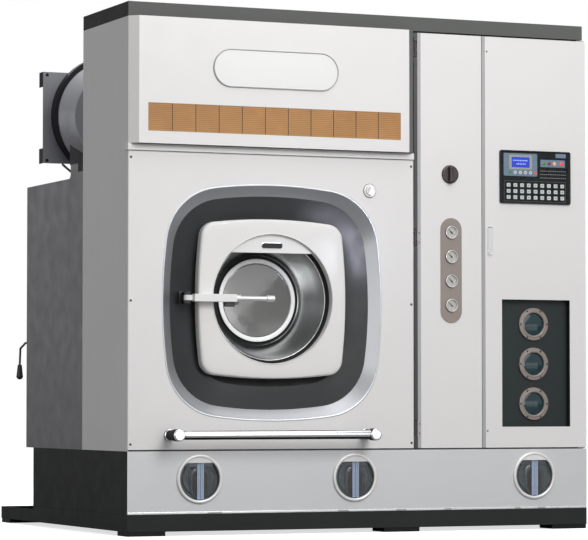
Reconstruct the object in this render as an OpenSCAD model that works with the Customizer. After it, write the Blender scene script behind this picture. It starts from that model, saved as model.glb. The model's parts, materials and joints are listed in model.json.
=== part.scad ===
// Dry cleaning machine: front cabinet with a round loading door, gauge door and control
// door, solvent tank with sight windows, base with a spill tray, rear housing and blower.
// Millimetres, +Z up, front towards -Y. The origin is on the floor, under the middle of
// the whole machine. Pieces are drawn from the front left floor corner of the cabinet
// and moved to the origin by place().

/* [Overall] */
// Width of the drum side of the front
drum_side_w = 1211; // [1190:1:1260]
// Width of the hinge groove beside the gauge door
groove_w = 17; // [16:0.5:22]
// Width of the gauge door
gauge_door_w = 287; // [250:1:340]
// Width of the strip between the two narrow doors
strip_w = 15; // [12:1:24]
// Width of the control door
control_door_w = 459; // [440:1:520]
// Depth of the front cabinet
cabinet_d = 519; // [480:1:600]
// Depth of the solvent tank from the front
tank_d = 1128; // [1080:1:1200]
// Depth of the rear housing from the front
housing_d = 1226; // [1180:1:1300]
// Depth of the base with its spill tray
tray_d = 1558; // [1480:1:1700]
// Height of the floor pads
pad_h = 17; // [10:1:30]
// Height of the base
base_h = 66; // [55:1:90]
// Height of the solvent tank
tank_h = 241; // [225:1:280]
// Height of the front cabinet
cabinet_h = 1669; // [1640:1:1740]
// Height of the top lid
lid_h = 57; // [40:1:80]

/* [Sheet and frame] */
// Thickness of the painted sheet
sheet_t = 2; // [1.5:0.1:3]
// Gap between two seated pieces
seat = 0.3; // [0.2:0.05:0.5]
// Gap beside a door
door_gap = 1.2; // [1:0.1:2]
// Thickness of the folded doors
door_t = 20; // [18:0.5:22]
// Clearance behind a door
door_back = 5; // [5:0.5:8]
// Size of the square frame bars
bar = 30; // [25:1:40]
// Gap above and below the doors
door_reveal = 6; // [6:0.5:10]
// How far the lid ends short of the right side
lid_inset = 13; // [5:1:25]

/* [Base and tank] */
// Thickness of the base sheet
base_t = 4; // [3:0.5:6]
// Height of the spill tray wall
tray_h = 51; // [30:1:55]
// Thickness of a bearer under the tank
bearer_t = 8; // [6:1:14]
// Number of bearers under the tank
bearers = 6; // [4:1:9]
// Width of a floor pad
pad_w = 155; // [100:1:200]
// Depth of a floor pad
pad_d = 112; // [80:1:160]
// Left edge of the middle floor pad
pad_mid_x = 1081; // [950:1:1200]
// Wall of the solvent tank
tank_t = 3; // [2:0.5:5]
// Middle of the left window from the left side
window_left_x = 296; // [240:1:340]
// Middle of the centre window from the left side
window_mid_x = 952; // [850:1:1050]
// Middle of the right window from the right side
window_right_in = 242; // [180:1:300]
// Middle of the windows above the foot of the tank
window_up = 134; // [110:1:140]
// Outer radius of a window bezel
window_r = 95; // [92:0.5:100]
// Clear radius of a window
window_clear_r = 82; // [72:0.5:84]
// How far a window bezel stands out
window_p = 8; // [5:0.5:14]
// Height of the straight top edge of the glass above the middle
window_chord = 62; // [50:1:68]

/* [Fascia] */
// Height of the fascia
fascia_h = 490; // [450:1:520]
// How far the fascia stands out, also its end bevel
fascia_p = 33; // [20:1:45]
// Height of the strip under the fascia
lip_h = 26; // [18:1:34]
// How far the strip stands out
lip_p = 7; // [4:0.5:12]
// Thickness of the turned-back end of the strip
lip_t = 2; // [1.5:0.1:3]
// How far the strip turns back along the left side
lip_return = 34; // [20:1:60]
// Width of the louvre grille
grille_w = 1069; // [900:1:1090]
// Height of the louvre grille
grille_h = 108; // [80:1:130]
// Foot of the louvre grille above the foot of the fascia
grille_up = 48; // [30:1:80]
// Number of grille segments
grille_n = 11; // [7:1:13]
// Number of slats
slat_n = 12; // [6:1:14]
// Width of the name plaque, which is blank
plaque_w = 530; // [400:1:600]
// Height of the name plaque
plaque_h = 150; // [110:1:170]
// Middle of the name plaque above the foot of the fascia
plaque_up = 303; // [270:1:330]

/* [Loading door] */
// Middle of the loading door from the left side
door_x = 604.5; // [590:0.5:620]
// Middle of the loading door above the middle of the space below the fascia
door_lift = 0.5; // [-10:0.5:10]
// Width of the door shell
shell_w = 626; // [600:1:640]
// Height of the door shell
shell_h = 622; // [600:1:640]
// Depth of the edge of the shell's crowned face
shell_y = 15; // [10:0.5:18]
// Width of the sloping part of the shell's face
shell_slope = 36; // [20:1:44]
// Outer radius of the rim
rim_r = 256; // [254:0.5:262]
// Width of the rim
rim_w = 4; // [3:0.5:6]
// Depth of the seal's front face
gasket_y = 30; // [24:0.5:34]
// Width of the seal
gasket_t = 12; // [8:0.5:14]
// Depth of the cap plate
cap_y = 13; // [4:0.5:16]
// Depth at which the chrome dish starts
dish_y = 41; // [36:0.5:44]
// Depth of the dish's foot
dish_foot_y = 176; // [150:1:182]
// Radius of the dish at its foot
dish_foot_r = 185; // [170:1:195]
// Outer radius of the white glass ring
glass_ring_r = 164; // [150:1:168]
// Clear radius of the glass ring
glass_r = 146; // [130:1:150]
// Depth of the glass ring's front
glass_ring_y = 164; // [150:1:168]
// Height of the cap plate's straight edge above the middle
cap_chord = 180; // [165:1:195]
// Width of the blank badge
badge_w = 92; // [60:1:120]
// Height of the blank badge
badge_h = 26; // [16:1:34]
// Middle of the badge above the middle of the door
badge_up = 208; // [200:1:216]
// Hinge pin to the left of the door's middle
pin_in = 364.5; // [350:0.5:372]
// Depth of the hinge pin, in front of the cabinet when negative
pin_y = -10; // [-14:0.5:-8]
// Radius of the hinge pin
pin_r = 6; // [4:0.5:8]
// Size of the square arm
arm_s = 30; // [24:1:32]
// Length of the square arm from the hinge pin
arm_l = 200; // [180:1:220]
// Length of the arm with its rod and tip
arm_reach = 361; // [330:1:380]
// Radius of the arm's rod
rod_r = 7; // [5:0.5:9]

/* [Door surround] */
// Width of the bezel
bezel_w = 920; // [890:1:940]
// Height of the bezel
bezel_h = 912; // [890:1:930]
// Middle of the bezel below the middle of the door
bezel_down = 15; // [0:1:30]
// Width of the bezel's sloping face
bezel_slope = 41; // [30:1:50]
// Depth of the bezel
bezel_d = 34; // [28:0.5:36]
// Depth of the well behind the door shell
well_d = 46; // [44:0.5:50]
// Bow of the bezel's sides, as a share of half a side
bezel_bow = 0.125; // [0.08:0.005:0.16]
// Corner radius of the bezel, as a share of half a side
bezel_corner = 0.5; // [0.35:0.01:0.6]
// Bow of the door shell's sides
shell_bow = 0.075; // [0.05:0.005:0.1]
// Corner radius of the door shell
shell_corner = 0.2; // [0.12:0.01:0.3]

/* [Handrail and release button] */
// Left post of the handrail from the left side
rail_left_x = 173; // [140:1:220]
// Right post of the handrail from the left side
rail_right_x = 997; // [900:1:1060]
// Middle of the handrail above the cabinet floor
rail_up = 62; // [54:1:72]
// How far the handrail stands out
rail_reach = 110; // [90:1:130]
// Radius of a post
rail_post_r = 23.5; // [18:0.5:26]
// Radius of the rail
rail_r = 17.5; // [14:0.5:18]
// Release button from the left side
button_x = 1018; // [1005:1:1040]
// Release button above the middle of the loading door
button_up = 434; // [425:1:440]
// Radius of the release button
button_r = 18; // [14:0.5:20]
// Travel of the release button
button_travel = 5; // [3:0.5:7]

/* [Drum and drive] */
// Outer radius of the drum casing
casing_r = 480; // [465:1:485]
// Front of the drum casing
casing_y = 160; // [154:1:164]
// Back of the drum casing
casing_back_y = 759; // [730:1:790]
// Wall of the drum casing
casing_t = 4; // [3:0.5:6]
// Clear radius of the casing's mouth
mouth_r = 250; // [248:0.5:252]
// Radius of the basket
basket_r = 450; // [430:1:456]
// Gap between the basket and the casing's ends
basket_gap = 16; // [12:1:30]
// Wall of the basket
basket_t = 2; // [1.5:0.5:4]
// Radius of the drum shaft
shaft_r = 25; // [20:0.5:30]
// Running clearance of a shaft or pin, on the radius
run = 0.05; // [0.03:0.01:0.08]
// Radius of the drum pulley
drum_pulley_r = 180; // [150:1:200]
// Radius of the motor pulley
motor_pulley_r = 55; // [45:1:70]
// Width of the belt
belt_w = 26; // [20:1:32]
// Thickness of the belt
belt_t = 7; // [5:0.5:10]
// Gap between the motor and the drum casing
motor_gap = 52.3; // [40:0.1:60]
// Middle of the motor above the cabinet floor
motor_up = 146; // [120:1:150]
// Radius of the motor
motor_r = 90; // [80:1:95]

/* [Gauge door] */
// Width of the gauge plate
gauge_plate_w = 94; // [80:1:110]
// Height of the gauge plate
gauge_plate_h = 420; // [400:1:460]
// Middle of the gauge plate above the cabinet floor
gauge_plate_up = 715; // [650:1:760]
// Distance between two gauges
gauge_pitch = 97.5; // [80:0.5:105]
// Radius of a gauge's ring
gauge_r = 26; // [22:0.5:30]
// Main switch above the cabinet floor
switch_up = 1100; // [1080:1:1150]
// Radius of the main switch
switch_r = 37; // [30:1:42]

/* [Control door] */
// Width of the controller
ctl_w = 323; // [300:1:340]
// Height of the controller
ctl_h = 215; // [190:1:230]
// Middle of the controller above the cabinet floor
ctl_up = 1099; // [1060:1:1140]
// Left edge of the controller from the door's left edge
ctl_left = 65; // [58:1:80]
// Rows of square keys
key_rows = 3; // [2:1:4]
// Square keys in a row
key_cols = 9; // [6:1:10]
// Width of the door's window
sight_w = 310; // [280:1:330]
// Height of the door's window
sight_h = 513; // [480:1:560]
// Middle of the window above the cabinet floor
sight_up = 346; // [320:1:380]
// Left edge of the window from the door's left edge
sight_left = 75; // [60:1:90]
// Distance between two portholes
port_pitch = 161; // [140:1:170]
// Outer radius of a porthole flange
port_r = 66; // [56:0.5:68]
// Clear radius of a porthole
port_clear_r = 46; // [38:0.5:50]
// Height of the flush latch's plate
latch_h = 121; // [110:1:140]
// Width of the flush latch's plate
latch_w = 26; // [24:0.5:30]
// Middle of the latch above the cabinet floor
latch_up = 837; // [800:1:900]
// Radius of the latch button
latch_button_r = 7; // [5:0.5:8]

/* [Rear housing and blower] */
// Top of the rear housing above the drum casing
housing_over = 19; // [15:1:60]
// Height of its upstand
upstand_h = 55; // [40:1:80]
// Middle of the blower from the left side
fan_x = 294; // [285:1:320]
// Middle of the blower above the rear housing
fan_up = 279; // [272:1:300]
// Radius of the blower housing at its foot
fan_r = 243; // [230:1:250]
// Growth of the blower housing's radius along its spiral
fan_growth = 36; // [20:1:48]
// Front of the blower housing
fan_y = 980; // [960:1:990]
// Depth of the blower housing
fan_d = 50; // [40:1:60]
// Radius of the front cover's flat face
fan_face_r = 200; // [180:1:215]
// Depth of the front cover
fan_cover_d = 52; // [40:1:70]
// Radius of the blower wheel
wheel_r = 190; // [150:1:205]
// Number of blades
blades = 12; // [8:1:16]
// Width of the outlet duct
duct_w = 120; // [90:1:140]
// Height of the motor plate
plate_h = 380; // [340:1:400]
// Width of the motor plate
plate_w = 580; // [540:1:600]
// Radius of the blower motor
fan_motor_r = 110; // [90:1:130]
// Length of the blower motor
fan_motor_l = 220; // [180:1:260]
// Middle of the lever valve above the cabinet floor
valve_up = 442; // [400:1:500]
// Middle of the lever valve from the left side
valve_x = 31; // [30:1:80]
// Reach of the valve's lever behind the rear cover
lever_reach = 172; // [150:1:200]

/* [Hidden] */
$fn = 96;

// Heights
base_z = pad_h;
tank_z = base_z + base_h;
floor_z = tank_z + tank_h;
lid_z = floor_z + cabinet_h;
top_z = lid_z + lid_h;
panel_z = floor_z + door_reveal;
door_top_z = lid_z - door_reveal;
fascia_z = lid_z - fascia_h;

// Places across the front
inner_x = sheet_t + seat;
drum_side_x = drum_side_w - 1;
gauge_x = drum_side_w + groove_w;
strip_x = gauge_x + gauge_door_w;
control_x = strip_x + strip_w;
body_w = control_x + control_door_w + 1;
frame_y = door_t + door_back;
hinge_x = gauge_x - 8;
pivot_in = 9;
pivot_x = body_w - pivot_in;
upright_x = [inner_x, drum_side_w - bar - 6, strip_x + strip_w / 2 - bar / 2, body_w - inner_x - bar];

// The box of the whole machine, for the origin
mid_x = (body_w - lip_t - seat) / 2;
mid_y = (tray_d - rail_reach) / 2;

// Loading door
door_z = (floor_z + fascia_z) / 2 + door_lift;
housing_z = door_z + casing_r + housing_over;
bezel_z = door_z - bezel_down;
button_z = door_z + button_up;
pin_x = door_x - pin_in;
hole_r = rim_r - rim_w;
dish_r = hole_r - gasket_t - 5;
dish_t = 2;
bezel_inner_w = bezel_w - 2 * bezel_slope;
bezel_inner_h = bezel_h - 2 * bezel_slope;
bracket_h = 46;
bracket_w = 40;
ear_r = 14;
ear_t = 12;
pad_y = bezel_d - 2;

// Drum and drive
bearing_l = 100;
casing_clear = 3;
pulley_y = casing_back_y + bearing_l + 12;
pulley_w = 40;
motor_z = floor_z + motor_up;
motor_x = door_x + sqrt(pow(casing_r + motor_gap + motor_r, 2) - pow(door_z - motor_z, 2));
motor_l = 270;
motor_y = pulley_y - motor_l - 22;
motor_shaft_r = 14;

// Tank windows
window_z = tank_z + window_up;
window_x = [window_left_x, window_mid_x, body_w - window_right_in];
window_hole_r = window_clear_r + 4;

// Gauges
gauge_row_x = gauge_x + gauge_door_w / 2 + 5;
gauge_plate_z = floor_z + gauge_plate_up;
gauge_z = [for (i = [0:3]) gauge_plate_z + 6 + (1.5 - i) * gauge_pitch];
gauge_can_r = gauge_r - 2;
gauge_front_y = -10;
gauge_back_y = 28;
dial_y = -4;
needle_angle = 135;
switch_z = floor_z + switch_up;

// Control door
ctl_x = control_x + ctl_left + ctl_w / 2;
ctl_z = floor_z + ctl_up;
sight_x = control_x + sight_left + sight_w / 2;
sight_z = floor_z + sight_up;
latch_x = control_x + 22;
latch_z = floor_z + latch_up;
latch_top_z = latch_z + latch_h / 2 - 9;
latch_foot_z = latch_z - latch_h / 2 + 27;
latch_button_z = latch_z - latch_h / 2 + 13;
latch_pin_y = 3;
latch_pin_r = 1.5;
paddle_w = latch_w - 9;
cup_gap = 0.4;
cup_wall = 3;

// Blower
fan_z = housing_z + fan_up;
fan_back_y = fan_y + fan_d;
fan_shaft_r = 12;

// Hinges of the gauge door, measured up from the cabinet floor and down from the lid
hinge_h = 60;
hinge_foot = 84;
hinge_head = 71;
hinge_lift = 2;
hinge_z = [
    floor_z + hinge_foot,
    (floor_z + hinge_foot + lid_z - hinge_head) / 2 + hinge_lift,
    lid_z - hinge_head
];
hinge_pin_r = 3;
knuckle_r = 5;
knuckle_mid = 11;

module place() {
    translate([-mid_x, -mid_y, 0]) children();
}

module box(x0, x1, y0, y1, z0, z1) {
    translate([x0, y0, z0]) cube([x1 - x0, y1 - y0, z1 - z0]);
}

// A round bar along Y from y0 to y1
module bar_y(r, x, z, y0, y1) {
    translate([x, y0, z]) rotate([-90, 0, 0]) cylinder(r = r, h = y1 - y0);
}

// A flat outline drawn in X and Z, from y0 to y1
module front(y0, y1) {
    translate([0, y1, 0]) rotate([90, 0, 0]) linear_extrude(y1 - y0) children();
}

// A profile of radius and depth, turned about an axis along Y
module spun(x, z) {
    translate([x, 0, z]) rotate([-90, 0, 0]) rotate_extrude() children();
}

// A flat outline of two round ends joined by straight sides
module stadium(w, h) {
    long = abs(w - h) / 2;
    r = min(w, h) / 2;
    square([w - (w > h ? 2 * r : 0), h - (h > w ? 2 * r : 0)], center = true);
    for (s = [-1, 1]) translate(w > h ? [s * long, 0] : [0, s * long]) circle(r);
}

// A rectangle with round corners, about its middle
module soft_rect(w, h, r) {
    square([w - 2 * r, h], center = true);
    square([w, h - 2 * r], center = true);
    for (sx = [-1, 1], sz = [-1, 1]) translate([sx * (w / 2 - r), sz * (h / 2 - r)]) circle(r);
}

function turned(p, a) = [p[0] * cos(a) - p[1] * sin(a), p[0] * sin(a) + p[1] * cos(a)];

// Outline of a square whose sides are shallow arcs and whose corners are round.
// bow and corner are shares of half a side.
function soft_square(w, h, bow, corner) =
    let (
        side_r = (1 + bow * bow) / (2 * bow),
        d = side_r - 1,
        q = side_r - corner,
        k = (-d + sqrt(2 * q * q - d * d)) / 2,
        a = atan2(k, k + d),
        n = 8,
        side = [for (i = [0:n]) [side_r * cos(a * (2 * i / n - 1)) - d, side_r * sin(a * (2 * i / n - 1))]],
        turn = [for (i = [1:n - 1]) [
            k + corner * cos(a + (90 - 2 * a) * i / n),
            k + corner * sin(a + (90 - 2 * a) * i / n)
        ]]
    )
    [for (s = [0:3], p = concat(side, turn)) let (t = turned(p, 90 * s)) [t[0] * w / 2, t[1] * h / 2]];

// A bowed square that narrows from its front at y0 to its back at y1
module funnel(front_w, front_h, back_w, back_h, y0, y1, bow, corner) {
    translate([0, y1, 0]) rotate([90, 0, 0])
        linear_extrude(y1 - y0, scale = [front_w / back_w, front_h / back_h], slices = 1)
            polygon(soft_square(back_w, back_h, bow, corner));
}

// A folded door or panel: a sheet with its edges turned back
module folded_sheet(x0, x1, z0, z1, depth) {
    difference() {
        box(x0, x1, 0, depth, z0, z1);
        box(x0 + sheet_t, x1 - sheet_t, sheet_t, depth + 1, z0 + sheet_t, z1 - sheet_t);
    }
}

// ---- Base and tank ----

module skid_base() {
    color("dimgray") place() {
        box(0, body_w, 0, tray_d, base_z, base_z + base_t);
        box(0, body_w, 0, base_t, base_z, tank_z);
        box(0, body_w, tray_d - base_t, tray_d, base_z, base_z + tray_h);
        for (x = [0, body_w - base_t]) {
            box(x, x + base_t, 0, tank_d, base_z, tank_z);
            box(x, x + base_t, 0, tray_d, base_z, base_z + tray_h);
        }
        for (i = [1:bearers]) {
            y = tank_d * i / bearers - bearer_t;
            box(0, body_w, y, y + bearer_t, base_z, tank_z);
        }
    }
}

module floor_pads() {
    edge = 2;
    color("black") place()
        for (x = [edge, pad_mid_x, body_w - edge - pad_w], y = [edge, tray_d - edge - pad_d])
            box(x, x + pad_w, y, y + pad_d, 0, base_z);
}

module solvent_tank() {
    baffle = [for (i = [0:1]) (window_x[i] + window_x[i + 1]) / 2];
    bay = [tank_t, baffle[0], baffle[1], body_w - tank_t + tank_t / 2];
    color("lightgray") place() difference() {
        box(0, body_w, 0, tank_d, tank_z, floor_z);
        for (i = [0:2])
            box(bay[i] + (i > 0 ? tank_t / 2 : 0), bay[i + 1] - tank_t / 2, tank_t, tank_d - tank_t,
                tank_z + tank_t, floor_z - tank_t);
        for (x = window_x) bar_y(window_hole_r, x, window_z, -1, tank_t + 1);
    }
}

module tank_bezels() {
    spigot_r = window_hole_r - seat;
    color("silver") place() for (x = window_x) {
        spun(x, window_z) polygon([
            [window_clear_r, -window_p], [window_r - 4, -window_p], [window_r, -window_p + 4],
            [window_r, 0], [spigot_r, 0], [spigot_r, tank_t], [window_clear_r, tank_t]
        ]);
        translate([x, 0, window_z]) front(-window_p / 2, -1) intersection() {
            circle(window_clear_r + 1);
            translate([-window_r, window_chord]) square([2 * window_r, window_r]);
        }
    }
}

module sight_glasses() {
    port_y = frame_y + 3;
    color("lightblue", 0.5) place() {
        for (x = window_x) translate([x, 0, window_z]) front(-window_p / 2, 1) difference() {
            circle(window_clear_r - seat);
            translate([-window_r, window_chord - seat]) square([2 * window_r, window_r]);
        }
        for (i = [-1:1])
            bar_y(port_clear_r - seat, sight_x, sight_z - 3 + i * port_pitch, port_y - 5, port_y + 3);
    }
}

module level_scales() {
    cup_r = window_hole_r - 0.5;
    cup_y = tank_t + seat;
    cup_back = tank_t + 23;
    strip_in = 7;
    strip_half = 4;
    strip_low = -70;
    strip_high = 58;
    color("steelblue") place() for (x = window_x) translate([x, 0, window_z]) {
        spun(0, 0) polygon([
            [cup_r - 2, cup_y], [cup_r, cup_y], [cup_r, cup_back], [0, cup_back],
            [0, cup_back - 2], [cup_r - 2, cup_back - 2]
        ]);
        translate([0, 0, -18]) front(cup_back - 12, cup_back - 2) stadium(60, 96);
        for (s = [-1, 1])
            box(s * strip_in - strip_half + s * strip_half, s * strip_in + strip_half + s * strip_half,
                cup_back - 18, cup_back - 2, strip_low, strip_high);
    }
}

// ---- Cabinet ----

module hinge_fixed(z) {
    web_x = gauge_x - 15.5;
    translate([0, 0, z]) {
        translate([hinge_x, knuckle_r, -hinge_h / 2]) cylinder(r = hinge_pin_r, h = hinge_h);
        box(web_x, web_x + 2, knuckle_r - 2, frame_y, -hinge_h / 2, hinge_h / 2);
        for (s = [-1, 1]) {
            low = s > 0 ? knuckle_mid + seat : -hinge_h / 2;
            high = s > 0 ? hinge_h / 2 : -knuckle_mid - seat;
            translate([hinge_x, knuckle_r, low]) cylinder(r = knuckle_r, h = high - low);
            box(web_x, hinge_x, knuckle_r - 2, knuckle_r + 2, low, high);
        }
    }
}

// The bracket and pin that carry a corner of the control door
module pivot_bracket(z, up) {
    plate_t = 3;
    pin_l = 10;
    pin_r = 4;
    box(pivot_x - bar, pivot_x + 4, 4, frame_y + bar, z, z + plate_t);
    translate([pivot_x, door_t / 2, up ? z : z - pin_l]) cylinder(r = pin_r, h = pin_l + plate_t);
}

module cabinet_frame() {
    back_y = cabinet_d - sheet_t;
    left = upright_x[0];
    right = upright_x[3] + bar;
    color("gainsboro") place() {
        for (x = upright_x, y = [frame_y, back_y - bar]) box(x, x + bar, y, y + bar, floor_z, lid_z);
        // Rails, kept clear of the drum casing
        difference() {
            for (z = [floor_z, lid_z - bar]) {
                for (y = [frame_y, back_y - bar]) box(left, right, y, y + bar, z, z + bar);
                for (x = upright_x) box(x, x + bar, frame_y, back_y, z, z + bar);
            }
            bar_y(casing_r + casing_clear, door_x, door_z, casing_y - 1, casing_back_y);
        }
        // Walls between the drum side and the two door compartments
        for (x = [upright_x[1] + bar - sheet_t, upright_x[2] + bar / 2])
            box(x, x + sheet_t, frame_y, back_y, floor_z, lid_z);
        // Back wall, open behind the drum
        box(upright_x[1], right, back_y - sheet_t, back_y, floor_z, lid_z);
        box(left, right, back_y - sheet_t, back_y, housing_z, lid_z);
        // Floor of the hinge groove, and the strip between the doors
        box(upright_x[1] + bar - 1, gauge_x + 3, frame_y, frame_y + sheet_t, floor_z, lid_z);
        box(strip_x + door_gap, control_x - door_gap, 0, frame_y + 1, panel_z, door_top_z);
        for (z = hinge_z) hinge_fixed(z);
        pivot_bracket(door_top_z + 1, false);
        pivot_bracket(panel_z - 4, true);
    }
}

module side_panels() {
    color("gray") place() {
        box(0, sheet_t, 0, cabinet_d, floor_z, lid_z);
        box(body_w - sheet_t, body_w, frame_y + 2, cabinet_d, floor_z, lid_z);
    }
}

module top_lid() {
    right = body_w - lid_inset;
    color("#363a39") place() difference() {
        box(0, right, 0, cabinet_d, lid_z, top_z);
        box(sheet_t, right - sheet_t, sheet_t, cabinet_d - sheet_t, lid_z - 1, top_z - sheet_t);
    }
}

// Plan of the fascia, d inside its outer face
module fascia_plan(d) {
    c = d * (sqrt(2) - 1);
    polygon([
        [inner_x + d, frame_y - seat + d / 2], [inner_x + d, -seat + c], [d > 0 ? inner_x + d : 0, -seat + c],
        [fascia_p + c, -fascia_p + d], [drum_side_x - fascia_p - c, -fascia_p + d],
        [drum_side_x - d, -seat + c], [drum_side_x - d, frame_y - seat + d / 2]
    ]);
}

module fascia() {
    grille_x = (drum_side_x - grille_w) / 2;
    color("whitesmoke") place() {
        difference() {
            translate([0, 0, fascia_z]) linear_extrude(fascia_h - seat) fascia_plan(0);
            translate([0, 0, fascia_z + sheet_t]) linear_extrude(fascia_h) fascia_plan(sheet_t);
            box(grille_x, grille_x + grille_w, -fascia_p - 1, -fascia_p + sheet_t + 1,
                fascia_z + grille_up, fascia_z + grille_up + grille_h);
        }
        // The strip under it, turned back along the left side
        box(-lip_t - seat, drum_side_x, -lip_p, -seat, fascia_z - lip_h, fascia_z - seat);
        box(-lip_t - seat, -seat, -lip_p, lip_return, fascia_z - lip_h, fascia_z - seat);
    }
}

module fascia_grille() {
    back = -fascia_p + 4;
    plate = 2;
    left = (drum_side_x - grille_w) / 2 + seat;
    low = fascia_z + grille_up + seat;
    w = grille_w - 2 * seat;
    h = grille_h - 2 * seat;
    post = 3;
    slat = 3;
    color("peru") place() {
        box(left, left + w, back - plate, back, low, low + h);
        for (i = [0:grille_n]) {
            x = left + (w - post) * i / grille_n;
            box(x, x + post, -fascia_p - 1, back, low, low + h);
        }
        for (i = [0:slat_n - 1]) {
            z = low + (h - slat) * i / (slat_n - 1);
            box(left, left + w, -fascia_p, back, z, z + slat);
        }
    }
}

module name_plaque() {
    rim = 6;
    color("white") place()
        translate([drum_side_x / 2 - 2, 0, fascia_z + plaque_up]) {
            front(-fascia_p - 3, -fascia_p) stadium(plaque_w, plaque_h);
            front(-fascia_p - 5.5, -fascia_p - 2) difference() {
                stadium(plaque_w, plaque_h);
                stadium(plaque_w - 2 * rim, plaque_h - 2 * rim);
            }
        }
}

module front_panel() {
    color("whitesmoke") place() difference() {
        folded_sheet(inner_x, drum_side_x, panel_z, fascia_z - lip_h - 1, frame_y - seat);
        translate([door_x, 0, bezel_z]) front(-1, sheet_t + 1)
            polygon(soft_square(bezel_w + 2 * seat, bezel_h + 2 * seat, bezel_bow, bezel_corner));
        bar_y(button_r + 1, button_x, button_z, -1, sheet_t + 1);
    }
}

module door_bezel() {
    wall = 3;
    lip = 5;
    over = 1;
    grow = 2 * bezel_slope * over / bezel_d;
    color("darkgray") place() translate([door_x, 0, bezel_z]) {
        difference() {
            funnel(bezel_w, bezel_h, bezel_inner_w, bezel_inner_h, 0, bezel_d, bezel_bow, bezel_corner);
            funnel(bezel_w - 2 * wall + grow, bezel_h - 2 * wall + grow, bezel_inner_w - 2 * wall - grow,
                bezel_inner_h - 2 * wall - grow, -over, bezel_d + over, bezel_bow, bezel_corner);
        }
        front(-1.5, 0) difference() {
            polygon(soft_square(bezel_w + 2 * lip, bezel_h + 2 * lip, bezel_bow, bezel_corner));
            polygon(soft_square(bezel_w - 2 * wall, bezel_h - 2 * wall, bezel_bow, bezel_corner));
        }
    }
}

module door_well() {
    wall = 2.5;
    edge = 8;
    out_w = bezel_inner_w + 2 * edge;
    out_h = bezel_inner_h + 2 * edge;
    foot_w = shell_w + 24;
    foot_h = shell_h + 24;
    front_y = bezel_d + seat;
    color("#323738") place() {
        difference() {
            translate([door_x, 0, bezel_z])
                funnel(out_w, out_h, foot_w, foot_h, front_y, well_d + wall, bezel_bow, bezel_corner);
            translate([door_x, -wall, bezel_z])
                funnel(out_w, out_h, foot_w, foot_h, front_y, well_d + wall, bezel_bow, bezel_corner);
            bar_y(rim_r + 2, door_x, door_z, 0, well_d + 10);
        }
        box(pin_x - bracket_w / 2, pin_x + bracket_w / 2, pad_y, well_d - 2,
            door_z - bracket_h / 2 - 2, door_z + bracket_h / 2 + 2);
    }
}

module hinge_bracket() {
    base_y = pad_y - seat;
    color("black") place() translate([pin_x, 0, door_z]) {
        box(-bracket_w / 2, bracket_w / 2, base_y - 5, base_y, -bracket_h / 2, bracket_h / 2);
        box(-8, 8, pin_y + ear_r + 4, base_y - 4, -bracket_h / 2, bracket_h / 2);
        for (z = [-bracket_h / 2, bracket_h / 2 - ear_t]) {
            translate([0, pin_y, z]) cylinder(r = ear_r, h = ear_t);
            box(-8, 8, pin_y, base_y - 4, z, z + ear_t);
        }
        translate([0, pin_y, -bracket_h / 2]) cylinder(r = pin_r, h = bracket_h);
    }
}

module handrail() {
    rail_z = floor_z + rail_up;
    rail_y = -rail_reach + rail_post_r + 1.5;
    color("silver") place() {
        for (x = [rail_left_x, rail_right_x]) bar_y(rail_post_r, x, rail_z, -rail_reach, 0);
        translate([rail_left_x, rail_y, rail_z]) rotate([0, 90, 0])
            cylinder(r = rail_r, h = rail_right_x - rail_left_x);
    }
}

module button_escutcheon() {
    color("silver") place() spun(button_x, button_z) polygon([
        [button_r + run, -5], [button_r + 7, -5], [button_r + 10, -2], [button_r + 10, 0], [button_r + run, 0]
    ]);
}

module release_button() {
    color("lightgray") place() {
        bar_y(button_r, button_x, button_z, -8 - button_travel / 2, sheet_t + 10);
        bar_y(button_r + 4, button_x, button_z, sheet_t + 8, sheet_t + 10);
    }
}

module sight_panel() {
    front_y = frame_y + 3;
    plate = 3;
    margin = 18;
    color("#2f383a") place() difference() {
        box(upright_x[2] + bar + seat, upright_x[3] - seat, front_y, front_y + plate,
            sight_z - sight_h / 2 - margin, sight_z + sight_h / 2 + margin);
        for (i = [-1:1]) bar_y(port_clear_r, sight_x, sight_z - 3 + i * port_pitch, front_y - 1, front_y + plate + 1);
    }
}

module porthole_flanges() {
    back_y = frame_y + 3;
    flange = 9;
    bolt_r = 4;
    color("#968a83") place() for (i = [-1:1]) translate([0, 0, i * port_pitch]) {
        spun(sight_x, sight_z - 3) polygon([
            [port_clear_r, back_y], [port_clear_r, back_y - flange + 3], [port_clear_r + 4, back_y - flange],
            [port_r - 2, back_y - flange], [port_r, back_y - flange + 2], [port_r, back_y]
        ]);
        for (a = [0:60:300])
            bar_y(bolt_r, sight_x + (port_r + port_clear_r) / 2 * sin(a),
                sight_z - 3 + (port_r + port_clear_r) / 2 * cos(a), back_y - flange - 3, back_y - 1);
    }
}

module panel_screws() {
    in_x = 10;
    foot_z = panel_z + 21;
    head_z = fascia_z - lip_h - 27;
    rows = [foot_z, (foot_z + head_z) / 2, head_z];
    color("dimgray") place() {
        for (x = [inner_x + in_x, drum_side_x - in_x], z = rows) bar_y(4, x, z, -1.6, 0);
        for (i = [0:1], s = [-1, 1]) bar_y(3, drum_side_x - 4, hinge_z[i] + s * 19, -1.2, 0);
    }
}

// ---- Loading door ----

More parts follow.
